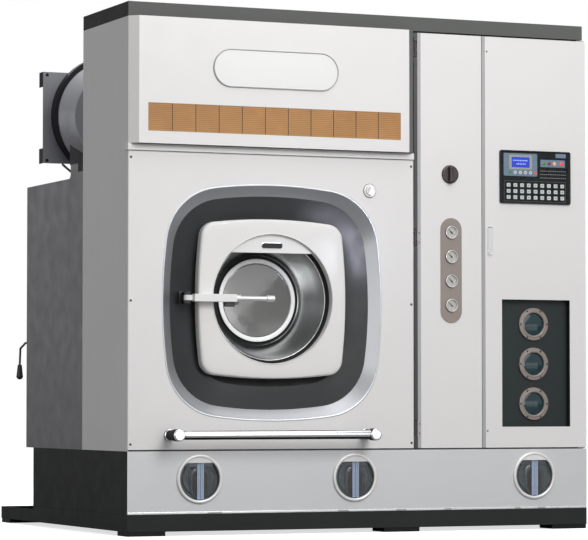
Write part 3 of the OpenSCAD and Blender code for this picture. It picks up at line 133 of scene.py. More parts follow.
# %% Floor
FLOOR_SIZE = 60
bpy.ops.mesh.primitive_plane_add(size=FLOOR_SIZE, location=(0, 0, 0))
floor = bpy.context.object
floor.name = "floor"


# %% Lamps that light
def lamp(name, place, aim, size, watts, colour=(1, 1, 1), roll=0):
    """A square soft light at place, turned to aim. Both are in millimetres."""
    bpy.ops.object.light_add(type="AREA", location=at(*place))
    light = bpy.context.object
    light.name = name
    light.data.size = size
    light.data.energy = watts
    light.data.color = colour
    facing = (at(*aim) - at(*place)).to_track_quat("-Z", "Y")
    light.rotation_euler = (facing @ Quaternion((0, 0, 1), radians(roll))).to_euler()
    light.visible_camera = False
    return light


lamp("key", (1900, -5200, 4300), (1000, 0, 1250), 3.0, 225)
lamp("top", (900, -400, 5600), (900, -400, 0), 5.0, 125)
lamp("back", (1200, 5500, 5000), (1000, 900, 1200), 3.0, 90)

# %% [markdown]
# Steel and glass show what stands round them. A photographer sets white boards where a
# curved metal part should shine, and they hardly light anything else. These lamps are such
# boards: they are seen in reflections only. Where each one stands follows from the law of
# reflection: the line from the camera, turned back at the surface. The well's two boards
# are small and stand close to it, because its hollow sheet gathers what it mirrors: a board
# far away would shine all over it.

# %% Boards that are only mirrored
def board(name, place, aim, width, height, brightness, colour=(1, 1, 1), roll=0):
    """A lamp that shows in glossy surfaces alone. Its power follows from its brightness."""
    light = lamp(name, place, aim, width, brightness * pi * width * height, colour, roll)
    light.data.shape = "RECTANGLE"
    light.data.size_y = height
    light.visible_diffuse = False
    return light


COOL = (0.80, 0.81, 1.0)
board("bezel_board", (-3300, -2600, 1100), (600, 0, 900), 3.2, 3.2, 1.45)
board("well_board", (1130, -600, 1118), (985, 40, 1146), 0.10, 0.15, 25, COOL)
board("well_board_low", (700, -600, 790), (290, 40, 800), 0.10, 0.16, 1.5, COOL)
board("panel_board", (2380, -5500, 870), (800, 0, 900), 0.8, 1.3, 2.5, roll=25.5)
board("pane_board", (1870, -5400, 2190), (604, 170, 914), 3.0, 3.0, 1.7, roll=45)
board("rear_board", (-2050, 5500, 1150), (0, 1000, 900), 1.3, 3.0, 0.5, roll=25)
board("fan_board", (-3000, 100, 1750), (60, 950, 1700), 0.9, 1.2, 1.6)
board("tank_board", (4300, -5500, 350), (1700, 0, 200), 2.4, 1.2, 0.9)
print("lights:", len(bpy.data.lights))

# %% [markdown]
# ## Helpers for modelling
# An operator acts on whatever is selected, so each helper first clears the selection and
# then picks one piece. `finish_piece` is the last step of every piece: it puts the object
# back at the origin with its place in the mesh, shades it, gives it its paint and fixes it
# to the body of the machine that carries it.

# %% Selecting and applying
def pick_object(obj):
    """Make obj the only selected object, in object mode."""
    if bpy.context.object and bpy.context.object.mode != "OBJECT":
        bpy.ops.object.mode_set(mode="OBJECT")
    bpy.ops.object.select_all(action="DESELECT")
    obj.select_set(True)
    bpy.context.view_layer.objects.active = obj


def edit(obj, kind="VERT"):
    """Open obj in edit mode with everything selected."""
    pick_object(obj)
    bpy.ops.object.mode_set(mode="EDIT")
    bpy.ops.mesh.select_mode(type=kind)
    bpy.ops.mesh.select_all(action="SELECT")


def select_faces(obj, test):
    """In edit mode, select the faces whose middle (in mm) and normal pass the test."""
    bpy.ops.mesh.select_mode(type="FACE")
    bpy.ops.mesh.select_all(action="DESELECT")
    mesh = bmesh.from_edit_mesh(obj.data)
    for face in mesh.faces:
        if test((face.calc_center_median() - CORNER) / MM, face.normal):
            face.select_set(True)
    bmesh.update_edit_mesh(obj.data)


def apply_modifier(obj, kind, **settings):
    pick_object(obj)
    modifier = obj.modifiers.new(kind.lower(), kind)
    for setting, value in settings.items():
        setattr(modifier, setting, value)
    bpy.ops.object.modifier_apply(modifier=modifier.name)


record = frame["record"]
BODY_OF = {
    node: body for body, members in record["behaviour"]["bodies"].items() for node in members
}


def finish_piece(obj, node, finish, stands_in=True, angle=35):
    """Settle a piece on a CAD node's body. If it stands in for the node, that one is hidden."""
    pick_object(obj)
    bpy.ops.object.transform_apply(location=True, rotation=True, scale=True)
    bpy.ops.object.shade_smooth_by_angle(angle=radians(angle))
    apply_modifier(obj, "WEIGHTED_NORMAL", keep_sharp=True)
    obj.data.materials.clear()
    obj.data.materials.append(finish)
    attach(obj, BODY_OF[node])
    if stands_in:
        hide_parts(node)
    print("%-22s %6d faces, %s" % (obj.name, len(obj.data.polygons), finish.name))
    return obj


def repaint(obj, finish, test):
    """Give the faces whose middle (in mm) and normal pass the test another finish."""
    obj.data.materials.append(finish)
    for polygon in obj.data.polygons:
        if test((polygon.center - CORNER) / MM, polygon.normal):
            polygon.material_index = len(obj.data.materials) - 1


def sliced(obj, place, normal):
    """Cut the faces of a mesh along a plane and keep both sides."""
    edit(obj)
    bpy.ops.mesh.bisect(plane_co=at(*place), plane_no=normal)
    bpy.ops.object.mode_set(mode="OBJECT")
    return obj


def joined(name, pieces):
    """Several meshes as one object."""
    pick_object(pieces[0])
    for piece in pieces[1:]:
        piece.select_set(True)
    if len(pieces) > 1:
        bpy.ops.object.join()
    pieces[0].name = name
    return pieces[0]


# %% [markdown]
# ## Four ways to start a piece
# * `block`: a cube, sized and placed, with its edges rounded by the bevel operator. Real
#   sheet metal never has a perfectly sharp edge, and the thin highlight on a bend is what
#   makes it look like metal.
# * `rings`: a circle that is extruded again and again, each new ring moved to its own
#   outline. It makes dishes, bezels and knobs, and it is how one turns a profile by hand.
# * `turned`: rings that are all circles.
# * `softened`: a copy of a CAD node, cleaned up and given rounded edges.

# %% Blocks
def block(name, x0, x1, y0, y1, z0, z1, edge=1.0, segments=2):
    bpy.ops.object.select_all(action="DESELECT")
    middle = at((x0 + x1) / 2, (y0 + y1) / 2, (z0 + z1) / 2)
    bpy.ops.mesh.primitive_cube_add(size=1, location=middle)
    obj = bpy.context.object
    obj.name = name
    obj.scale = ((x1 - x0) * MM, (y1 - y0) * MM, (z1 - z0) * MM)
    bpy.ops.object.transform_apply(location=True, rotation=True, scale=True)
    if edge:
        edit(obj, "EDGE")
        bpy.ops.mesh.bevel(offset=edge * MM, segments=segments, affect="EDGES")
        bpy.ops.object.mode_set(mode="OBJECT")
    return obj


# %% Rings
def move_ring(obj, points, row):
    """Put the selected ring's vertices on points, and note which row they are."""
    mesh = bmesh.from_edit_mesh(obj.data)
    order = mesh.verts.layers.int["order"]
    rows = mesh.verts.layers.int["row"]
    for vert in mesh.verts:
        if vert.select:
            vert.co = at(*points[vert[order]])
            vert[rows] = row
    bmesh.update_edit_mesh(obj.data)


def cap_ring(obj, row):
    """Close the hole at a row of rings with one face."""
    bpy.ops.mesh.select_all(action="DESELECT")
    mesh = bmesh.from_edit_mesh(obj.data)
    rows = mesh.verts.layers.int["row"]
    for vert in mesh.verts:
        vert.select_set(vert[rows] == row)
    mesh.select_flush(True)
    bmesh.update_edit_mesh(obj.data)
    bpy.ops.mesh.edge_face_add()


def rings(name, outlines, closed=False, caps=""):
    """A surface through rings of points in mm. closed joins the last ring to the first."""
    bpy.ops.object.select_all(action="DESELECT")
    bpy.ops.mesh.primitive_circle_add(vertices=len(outlines[0]), radius=1)
    obj = bpy.context.object
    obj.name = name
    edit(obj)
    mesh = bmesh.from_edit_mesh(obj.data)
    order = mesh.verts.layers.int.new("order")
    mesh.verts.layers.int.new("row")
    mesh.verts.ensure_lookup_table()
    for i, vert in enumerate(mesh.verts):
        vert[order] = i
    bmesh.update_edit_mesh(obj.data)
    move_ring(obj, outlines[0], 0)
    for row, outline in enumerate(outlines[1:] + ([outlines[0]] if closed else []), 1):
        bpy.ops.mesh.extrude_region_move()
        move_ring(obj, outline, row)
    if "front" in caps:
        cap_ring(obj, 0)
    if "back" in caps:
        cap_ring(obj, len(outlines) - 1)
    bpy.ops.mesh.select_all(action="SELECT")
    bpy.ops.mesh.remove_doubles(threshold=0.00001)
    bpy.ops.mesh.normals_make_consistent(inside=False)
    bpy.ops.object.mode_set(mode="OBJECT")
    return obj


def round_points(count):
    """Points of a circle of radius 1 about (0, 0)."""
    return [(cos(2 * pi * i / count), sin(2 * pi * i / count)) for i in range(count)]


def turned(name, x, z, profile, closed=True, caps="", count=96):
    """A turned piece whose axis runs front to back. The profile is (radius, y) pairs in mm."""
    return rings(name, [
        [(x + r * c, y, z + r * s) for c, s in round_points(count)] for r, y in profile
    ], closed, caps)


def disc(name, x, z, profile, count=64):
    """A solid turned piece: its first and last rings are closed with a face."""
    return turned(name, x, z, profile, closed=False, caps="front back", count=count)


# %% [markdown]
# The door and its surround have an outline of their own: a square whose sides are shallow
# arcs and whose corners are round. One formula gives its points, and every ring of the
# bezel, the well and the door shell uses the same number of points, so that they can be
# joined ring by ring. A circle with its points at the same angles joins to it as well.

# %% The bowed square
ARC_STEPS = 12


def bowed_square(w, h, bow, corner):
    """Points (x, z) about the middle. bow and corner are shares of half a side."""
    side_r = (1 + bow * bow) / (2 * bow)
    back = side_r - 1
    reach = side_r - corner
    k = (-back + sqrt(2 * reach * reach - back * back)) / 2
    tip = atan2(k, k + back)
    quarter = []
    for i in range(ARC_STEPS):
        a = tip * (2 * i / ARC_STEPS - 1)
        quarter.append((side_r * cos(a) - back, side_r * sin(a)))
    for i in range(ARC_STEPS):
        a = tip + (pi / 2 - 2 * tip) * i / ARC_STEPS
        quarter.append((k + corner * cos(a), k + corner * sin(a)))
    points = []
    for turn in range(4):
        c, s = cos(turn * pi / 2), sin(turn * pi / 2)
        points += [((x * c - z * s) * w / 2, (x * s + z * c) * h / 2) for x, z in quarter]
    return points


def placed(points, x, y, z):
    return [(x + px, y, z + pz) for px, pz in points]


def circle_like(points, r):
    """A circle with its points at the same angles as an outline's."""
    return [(r * px / hypot(px, pz), r * pz / hypot(px, pz)) for px, pz in points]


def between(a, b, t):
    return [(p[0] * (1 - t) + q[0] * t, p[1] * (1 - t) + q[1] * t) for p, q in zip(a, b)]


# %% Softened copies of CAD nodes
def softened(node, edge=0.8, segments=2, angle=30, name=None):
    """A copy of a CAD node with flat faces merged and its edges rounded by edge mm."""
    obj = nodes[node].copy()
    obj.data = nodes[node].data.copy()
    bpy.context.scene.collection.objects.link(obj)
    obj.parent = None
    for key in list(obj.keys()):
        del obj[key]
    obj.hide_render = False
    obj.hide_viewport = False
    obj.name = name or node + "_piece"
    edit(obj)
    bpy.ops.mesh.remove_doubles(threshold=0.00002)
    bpy.ops.mesh.dissolve_limited(angle_limit=radians(0.5))
    bpy.ops.object.mode_set(mode="OBJECT")
    apply_modifier(
        obj, "BEVEL", width=edge * MM, segments=segments, limit_method="ANGLE",
        angle_limit=radians(angle), use_clamp_overlap=True, harden_normals=False,
    )
    return obj


# %% [markdown]
# ## Finishes
# Four node groups make most of the surfaces. Each puts out a colour, a roughness and a
# height, and the material feeds them to its own shader.
# * Paint film: sprayed paint is never quite even. Slow noise shifts its tone a little, a
#   finer one its gloss, and a very fine one gives the orange peel of the film.
# * Brushed steel: noise stretched far along one direction looks like the scratches that a
#   belt leaves.
# * Spun steel: the same scratches, but in rings about the axis that the sheet was spun on.
# * Moulded plastic: a fine even grain with a trace of handling marks.

# %% Node helpers
def group_with(name, inputs, outputs):
    group = bpy.data.node_groups.new(name, "ShaderNodeTree")
    for socket, kind in inputs:
        group.interface.new_socket(socket, in_out="INPUT", socket_type="NodeSocket" + kind)
    for socket, kind in outputs:
        group.interface.new_socket(socket, in_out="OUTPUT", socket_type="NodeSocket" + kind)
    return group, group.nodes.new("NodeGroupInput"), group.nodes.new("NodeGroupOutput")


def object_place(tree):
    return tree.nodes.new("ShaderNodeTexCoord").outputs["Object"]


def vector_step(tree, operation, first, second=None):
    """A Vector Math node. Its second input may be left for a length."""
    node = tree.nodes.new("ShaderNodeVectorMath")
    node.operation = operation
    feed(tree, first, node.inputs[0])
    if second is not None:
        feed(tree, second, node.inputs[1])
    return node.outputs["Value" if operation == "LENGTH" else "Vector"]


def noise(tree, place, scale, detail=3.0, rough=0.5):
    node = tree.nodes.new("ShaderNodeTexNoise")
    node.inputs["Scale"].default_value = scale
    node.inputs["Detail"].default_value = detail
    node.inputs["Roughness"].default_value = rough
    tree.links.new(place, node.inputs["Vector"])
    return node.outputs["Fac"]


def spread(tree, value, low, high, start=0.3, end=0.7):
    """A noise value between start and end, as one between low and high."""
    node = tree.nodes.new("ShaderNodeMapRange")
    node.inputs["From Min"].default_value = start
    node.inputs["From Max"].default_value = end
    node.inputs["To Min"].default_value = low
    node.inputs["To Max"].default_value = high
    tree.links.new(value, node.inputs["Value"])
    return node.outputs["Result"]


def blend_colours(tree, factor, first, second):
    node = tree.nodes.new("ShaderNodeMix")
    node.data_type = "RGBA"
    tree.links.new(factor, node.inputs["Factor"])
    for colour, socket in ((first, node.inputs[6]), (second, node.inputs[7])):
        feed(tree, (*colour, 1) if isinstance(colour, tuple) else colour, socket)
    return node.outputs[2]


def sum_of(tree, a, b, operation="ADD"):
    node = tree.nodes.new("ShaderNodeMath")
    node.operation = operation
    feed(tree, a, node.inputs[0])
    feed(tree, b, node.inputs[1])
    return node.outputs[0]


# %% Paint film
SURFACE_OUT = [("Colour", "Color"), ("Roughness", "Float"), ("Height", "Float")]
PAINT_IN = [("Colour", "Color"), ("Shade", "Color"), ("Roughness", "Float")]


def put_out(tree, group_out, colour, roughness, height):
    """Link a group's three results to its outputs."""
    for socket, value in (("Colour", colour), ("Roughness", roughness), ("Height", height)):
        tree.links.new(value, group_out.inputs[socket])


paint_film, film_in, film_out = group_with("paint film", PAINT_IN, SURFACE_OUT)
film_place = object_place(paint_film)
film_tone = spread(paint_film, noise(paint_film, film_place, 2.2, 4), 0.0, 1.0)
film_gloss = spread(paint_film, noise(paint_film, film_place, 14, 5), -0.05, 0.05)
put_out(
    paint_film, film_out,
    blend_colours(paint_film, film_tone, film_in.outputs["Colour"], film_in.outputs["Shade"]),
    sum_of(paint_film, film_gloss, film_in.outputs["Roughness"]),
    noise(paint_film, film_place, 420, 2),
)

# %% Brushed steel
brushing, brush_in, brush_out = group_with(
    "brushing", PAINT_IN + [("Stretch", "Vector")], SURFACE_OUT
)
brush_place = object_place(brushing)
brush_stretched = vector_step(brushing, "MULTIPLY", brush_place, brush_in.outputs["Stretch"])
brush_lines = noise(brushing, brush_stretched, 1.0, 6, 0.65)
brush_clouds = noise(brushing, brush_place, 1.6, 3)
brush_mask = spread(
    brushing, sum_of(brushing, brush_lines, brush_clouds, "MULTIPLY"), 0, 1, 0.12, 0.4
)
put_out(
    brushing, brush_out,
    blend_colours(brushing, brush_mask, brush_in.outputs["Shade"], brush_in.outputs["Colour"]),
    sum_of(brushing, spread(brushing, brush_lines, -0.07, 0.07), brush_in.outputs["Roughness"]),
    brush_lines,
)

# %% Spun steel
spinning, spin_in, spin_out = group_with(
    "spinning", PAINT_IN + [("Middle", "Vector")], SURFACE_OUT
)
spin_place = object_place(spinning)
spin_from = vector_step(spinning, "SUBTRACT", spin_place, spin_in.outputs["Middle"])
spin_radius = vector_step(
    spinning, "LENGTH", vector_step(spinning, "MULTIPLY", spin_from, (1, 0, 1))
)
spin_lines = spinning.nodes.new("ShaderNodeTexNoise")
spin_lines.noise_dimensions = "1D"
spin_lines.inputs["Scale"].default_value = 260
spinning.links.new(spin_radius, spin_lines.inputs["W"])
spin_mask = spread(spinning, spin_lines.outputs["Fac"], 0, 1)
spin_gloss = spread(spinning, noise(spinning, spin_place, 5, 2), -0.02, 0.02)
put_out(
    spinning, spin_out,
    blend_colours(spinning, spin_mask, spin_in.outputs["Shade"], spin_in.outputs["Colour"]),
    sum_of(spinning, spin_gloss, spin_in.outputs["Roughness"]),
    spin_lines.outputs["Fac"],
)

# %% Moulded grain
moulding, mould_in, mould_out = group_with(
    "moulding", PAINT_IN + [("Grain", "Float")], SURFACE_OUT
)
mould_place = object_place(moulding)
mould_grain = moulding.nodes.new("ShaderNodeTexNoise")
mould_grain.inputs["Detail"].default_value = 2
moulding.links.new(mould_place, mould_grain.inputs["Vector"])
moulding.links.new(mould_in.outputs["Grain"], mould_grain.inputs["Scale"])
mould_marks = spread(moulding, noise(moulding, mould_place, 9, 5), 0, 1)
mould_gloss = spread(moulding, noise(moulding, mould_place, 30, 4), -0.06, 0.06)
put_out(
    moulding, mould_out,
    blend_colours(moulding, mould_marks, mould_in.outputs["Colour"], mould_in.outputs["Shade"]),
    sum_of(moulding, mould_gloss, mould_in.outputs["Roughness"]),
    mould_grain.outputs["Fac"],
)
print("surface groups:", [group.name for group in bpy.data.node_groups])


# %% Materials from the groups
def finish_of(name, group, colour, shade, roughness, metallic=0.0, bump=0.02, coat=0.0,
              specular=0.5, extra=None):
    """A material that feeds one of the groups to its own shader."""
    material = bpy.data.materials.new(name)
    material.use_nodes = True
    tree = material.node_tree
    shader = tree.nodes["Principled BSDF"]
    film = tree.nodes.new("ShaderNodeGroup")
    film.node_tree = group
    film.inputs["Colour"].default_value = (*colour, 1)
    film.inputs["Shade"].default_value = (*shade, 1)
    film.inputs["Roughness"].default_value = roughness
    for socket, value in (extra or {}).items():
        film.inputs[socket].default_value = value
    tree.links.new(film.outputs["Colour"], shader.inputs["Base Color"])
    tree.links.new(film.outputs["Roughness"], shader.inputs["Roughness"])
    shader.inputs["Metallic"].default_value = metallic
    shader.inputs["Specular IOR Level"].default_value = specular
    shader.inputs["Coat Weight"].default_value = coat
    shader.inputs["Coat Roughness"].default_value = 0.08
    relief = tree.nodes.new("ShaderNodeBump")
    relief.inputs["Strength"].default_value = bump
    relief.inputs["Distance"].default_value = 0.001
    tree.links.new(film.outputs["Height"], relief.inputs["Height"])
    tree.links.new(relief.outputs["Normal"], shader.inputs["Normal"])
    return material


def paint(name, colour, shade, roughness=0.4, coat=0.0, specular=0.5):
    return finish_of(
        name, paint_film, colour, shade, roughness, bump=0.12, coat=coat, specular=specular
    )


def steel(name, colour, shade, roughness, along="x", metallic=1.0):
    """Scratches that run along x, y or z."""
    stretch = {"x": (6, 260, 500), "y": (260, 6, 500), "z": (500, 500, 6)}[along]
    return finish_of(
        name, brushing, colour, shade, roughness, metallic, 0.05, extra={"Stretch": stretch}
    )


def plastic(name, colour, shade, roughness=0.35, grain=600.0, coat=0.0, specular=0.5, bump=0.06):
    return finish_of(
        name, moulding, colour, shade, roughness, bump=bump, coat=coat, specular=specular,
        extra={"Grain": grain},
    )


def clear(name, tint, roughness, alpha):
    """A see-through pane: thin glass shown by its alpha, so what is behind it shows."""
    material = plastic(name, tint, tint, roughness, 40.0, coat=1.0, bump=0.01)
    material.node_tree.nodes["Principled BSDF"].inputs["Alpha"].default_value = alpha
    return material


def glow(name, colour, strength):
    material = plastic(name, colour, colour, 0.3)
    shader = material.node_tree.nodes["Principled BSDF"]
    shader.inputs["Emission Color"].default_value = (*colour, 1)
    shader.inputs["Emission Strength"].default_value = strength
    return material


# %% [markdown]
# ## The paints, metals, mouldings and panes
# Each finish has two tones that lie close together, and its group moves between them. The
# paints are nearly matt. The metals differ in how their scratches run, and the satin ones
# are only partly metallic: a full metal mirrors the room and has no tone of its own.
# A pane is thin, so it is shown by its alpha. A lamp gives off a little light, and so does the
# white window ring, whose glow is a painted highlight.

# %% Paints
cream = paint("warm white paint", (0.81, 0.797, 0.793), (0.79, 0.777, 0.773), 0.42, 0.15)
snow = paint("white enamel", (0.84, 0.835, 0.83), (0.82, 0.815, 0.81), 0.35, 0.2)
lid_grey = paint("lid grey paint", (0.138, 0.142, 0.138), (0.124, 0.128, 0.124), 0.5, specular=0.04)
lid_side_painted_shade = paint(
    "lid side painted shade", (0.044, 0.045, 0.044), (0.039, 0.040, 0.039), 0.5, specular=0.04
)
dark_paint_and_shade = paint(
    "dark grey paint and painted shade", (0.037, 0.0385, 0.0385), (0.032, 0.0335, 0.0335), 0.5, specular=0.04
)
rear_grey = paint("rear grey paint", (0.112, 0.108, 0.127), (0.100, 0.097, 0.113), 0.42)
well_grey = paint(
    "well grey paint", (0.023, 0.0268, 0.0278), (0.021, 0.0245, 0.0255), 0.2, specular=0.2
)
frame_grey = paint("frame grey paint", (0.42, 0.43, 0.43), (0.38, 0.39, 0.39), 0.5)
seam_grey = paint("hinge strip grey", (0.44, 0.44, 0.45), (0.40, 0.40, 0.41), 0.4)
fan_grey = paint("fan grey paint", (0.30, 0.303, 0.335), (0.28, 0.283, 0.315), 0.4, 0.1)
cone_grey = paint("fan cone paint", (0.40, 0.403, 0.43), (0.375, 0.378, 0.405), 0.34, 0.3)
fan_dark = paint("fan dark paint", (0.032, 0.031, 0.035), (0.026, 0.025, 0.028), 0.5, specular=0.05)
fascia_end_shade = paint("fascia end painted shade", (0.17, 0.17, 0.172), (0.15, 0.15, 0.152), 0.5, specular=0.1)
taupe = paint("taupe enamel", (0.30, 0.25, 0.225), (0.26, 0.215, 0.195), 0.4, 0.2)
motor_blue = paint("motor blue paint", (0.09, 0.17, 0.27), (0.07, 0.14, 0.22), 0.45)
iron_and_painted_shade = paint("pulley iron and painted shade", (0.035, 0.035, 0.037), (0.055, 0.05, 0.048), 0.5)
sight_dark_and_shade = paint(
    "sight panel paint and painted shade", (0.016, 0.024, 0.025), (0.013, 0.019, 0.021), 0.45, specular=0.3
)

# %% Bare metal and brushed sheet
DOOR_MIDDLE = tuple(at(*[sum(span("door_dish")[i:i + 2]) / 2 for i in (0, 2, 4)]))
window_satin = steel("window satin", (0.80, 0.79, 0.78), (0.72, 0.71, 0.70), 0.35, "x", 0.3)
tank_front = steel("tank steel", (0.64, 0.645, 0.66), (0.605, 0.61, 0.625), 0.45, "x", 0.2)
bezel_metal = steel("bezel metal", (0.47, 0.48, 0.50), (0.42, 0.43, 0.45), 0.36, "x", 0.75)
dish_steel = finish_of(
    "dish steel", spinning, (0.56, 0.572, 0.572), (0.51, 0.522, 0.522), 0.24, 1.0, 0.03,
    extra={"Middle": DOOR_MIDDLE},
)
chrome = steel("chrome", (0.86, 0.87, 0.88), (0.72, 0.73, 0.75), 0.1, "x")
zinc = steel("zinc plate", (0.46, 0.46, 0.44), (0.30, 0.30, 0.29), 0.38, "z")
brass = steel("brass", (0.60, 0.43, 0.16), (0.42, 0.29, 0.10), 0.32, "z")
side_paint = finish_of(
    "side sheet", brushing, (0.78, 0.775, 0.775), (0.73, 0.725, 0.725), 0.55, 0.0, 0.04,
    extra={"Stretch": (60, 60, 0.7)},
)
still_steel = steel("vessel steel", (0.52, 0.53, 0.54), (0.40, 0.41, 0.42), 0.35, "z")
basket_steel = steel("basket steel", (0.60, 0.61, 0.61), (0.46, 0.47, 0.47), 0.3, "y")
polished = steel("polished steel", (0.80, 0.81, 0.82), (0.70, 0.71, 0.72), 0.2, "x")
latch_metal = steel("latch metal", (0.72, 0.72, 0.72), (0.66, 0.66, 0.66), 0.32, "z", 0.3)

# %% Mouldings and rubber
shell_white = plastic(
    "warm white moulding", (0.82, 0.807, 0.797), (0.81, 0.797, 0.787), 0.45, 300, 0.1
)
strip_brown = plastic("hinge cover", (0.042, 0.038, 0.041), (0.036, 0.033, 0.035), 0.4)
louvre_orange = plastic("louvre orange", (0.56, 0.28, 0.085), (0.48, 0.235, 0.075), 0.45)
black_gloss = plastic(
    "black facing", (0.007, 0.010, 0.011), (0.008, 0.011, 0.012), 0.3, 500, 0.05, 0.2
)
black_satin = plastic("black satin", (0.014, 0.014, 0.015), (0.022, 0.022, 0.023), 0.45)
rubber_shade_and_reflection = plastic(
    "black rubber with painted shade and reflection", (0.006, 0.006, 0.006), (0.010, 0.010, 0.010), 0.6, 900, specular=0.2
)
brown = plastic("dark brown moulding", (0.042, 0.030, 0.026), (0.032, 0.022, 0.019), 0.35)
scale_blue = plastic("scale blue", (0.55, 0.68, 0.92), (0.50, 0.62, 0.85), 0.35)
dial_white = plastic("dial white", (0.80, 0.79, 0.76), (0.76, 0.75, 0.72), 0.5)
window_grey = plastic("window grey", (0.085, 0.105, 0.118), (0.070, 0.088, 0.100), 0.25, coat=0.4)
panel_blue = plastic("panel blue", (0.16, 0.23, 0.32), (0.13, 0.19, 0.27), 0.4)
frame_beige = plastic("frame beige", (0.36, 0.38, 0.34), (0.31, 0.33, 0.29), 0.5)
key_white = plastic("key white", (0.62, 0.66, 0.66), (0.56, 0.60, 0.60), 0.4)

# %% Glass and lamps
porthole_glass = clear("porthole glass", (0.007, 0.036, 0.045), 0.06, 1.0)
porthole_glass.node_tree.nodes["Principled BSDF"].inputs["Coat Weight"].default_value = 0.3
door_pane = clear("door glass", (0.13, 0.128, 0.126), 0.03, 1.0)
clear_pane = clear("clear pane", (0.04, 0.05, 0.05), 0.04, 0.10)
# The window ring is no lamp: its glow is a painted highlight that keeps it white in its recess.
ring_painted_glow = glow("ring white with painted glow", (0.88, 0.88, 0.88), 0.12)
screen_glow = glow("display", (0.01, 0.035, 0.42), 0.5)
tick_glow = glow("display ticks", (0.35, 0.42, 0.75), 0.5)
lamp_green = glow("green lamp", (0.05, 0.22, 0.03), 0.1)
lamp_dark_red = glow("dark red lamp", (0.22, 0.02, 0.015), 0.1)
lamp_orange = glow("orange lamp", (0.85, 0.32, 0.12), 0.4)
lamp_red = glow("red lamp", (0.85, 0.05, 0.04), 0.5)
lamp_orange_red = glow("orange red key", (0.6, 0.12, 0.05), 0.15)
print("materials:", len(bpy.data.materials))

# %% [markdown]
# The floor is near white to the eye. To mirrors and to bounced light it is darker, so that
# it doesn't fill the shade under the machine.

# %% Floor paint
FLOOR_HIDDEN, FLOOR_SHINE = (0.20, 0.20, 0.20), 0.7
floor_paint = paint("pale floor", (0.88, 0.88, 0.88), (0.86, 0.86, 0.86), 0.6)
floor_tree = floor_paint.node_tree
floor_shader = floor_tree.nodes["Principled BSDF"]
floor_ray = floor_tree.nodes.new("ShaderNodeLightPath").outputs
floor_shown = floor_shader.inputs["Base Color"].links[0].from_socket
floor_seen = blend_colours(floor_tree, floor_ray["Is Camera Ray"], FLOOR_HIDDEN, floor_shown)
floor_lit = blend_colours(floor_tree, floor_ray["Is Camera Ray"], (0, 0, 0), (1, 1, 1))
floor_tree.links.new(floor_seen, floor_shader.inputs["Base Color"])
floor_tree.links.new(floor_lit, floor_shader.inputs["Emission Color"])
floor_shader.inputs["Emission Strength"].default_value = FLOOR_SHINE
floor.data.materials.append(floor_paint)

# %% [markdown]
# ## The bezel round the door
# On the real machine this is a pressed and brushed ring of stainless steel. It starts with
# a flat lip on the white panel, turns over a small radius and slopes down into the well.
# It is a closed loop of rings, so that it has a wall thickness as sheet has.

# %% Bezel
bx0, bx1, by0, by1, bz0, bz1 = span("door_bezel")
dx0, dx1, _, dy1, dz0, dz1 = span("door_shell")
DOOR_X, DOOR_Z = (dx0 + dx1) / 2, (dz0 + dz1) / 2
BEZEL_X, BEZEL_Z = (bx0 + bx1) / 2, (bz0 + bz1) / 2
BEZEL_LIP = 5
BEZEL_W, BEZEL_H = bx1 - bx0 - 2 * BEZEL_LIP, bz1 - bz0 - 2 * BEZEL_LIP
BEZEL_BOW, BEZEL_CORNER = 0.125, 0.5
BEZEL_SLOPE = 41


def bezel_ring(inset, y):
    points = bowed_square(BEZEL_W - 2 * inset, BEZEL_H - 2 * inset, BEZEL_BOW, BEZEL_CORNER)
    return placed(points, BEZEL_X, y, BEZEL_Z)


bezel = rings(
    "bezel",
    [bezel_ring(inset, y) for inset, y in (
        (-BEZEL_LIP, -0.3), (-BEZEL_LIP, -0.9), (-BEZEL_LIP + 0.6, by0), (-1.5, by0), (0.5, -1.0),
        (2.2, 0.4), (4, 2.4), (12, 9.2), (24, 19.4), (36, 29.8), (39.5, 32.6), (BEZEL_SLOPE, by1),
        (BEZEL_SLOPE - 3, by1), (36, 32.5), (24, 22.5), (12, 12.3), (2, 4), (-1, 0.6), (-3, -0.3),
    )],
    closed=True,
)
finish_piece(bezel, "door_bezel", bezel_metal, angle=50)

# %% [markdown]
# ## The well behind the door
# A dark painted sheet lines the space between the bezel and the door. It falls gently towards the
# door and ends in a round hole, where the drum's mouth begins. Its flat foot, which lies under the
# door, is painted black: painted shade in the gap round the door.

# %% Well
WELL_HOLE = 258
UNDER_BEZEL = 16
ROUND_DOOR = 16
well_outer = bowed_square(
    BEZEL_W - 2 * BEZEL_SLOPE + UNDER_BEZEL, BEZEL_H - 2 * BEZEL_SLOPE + UNDER_BEZEL,
    BEZEL_BOW, BEZEL_CORNER,
)
well_foot = bowed_square(dx1 - dx0 + ROUND_DOOR, dz1 - dz0 + ROUND_DOOR, BEZEL_BOW, BEZEL_CORNER)
well_circle = placed(circle_like(well_foot, WELL_HOLE), DOOR_X, 0, DOOR_Z)


def well_ring(t, y):
    """t runs from the outer edge (0) to the foot of the slope (1)."""
    return placed(between(well_outer, well_foot, t), BEZEL_X, y, BEZEL_Z)


def well_floor(y):
    return [(x, y, z) for x, _, z in well_circle]


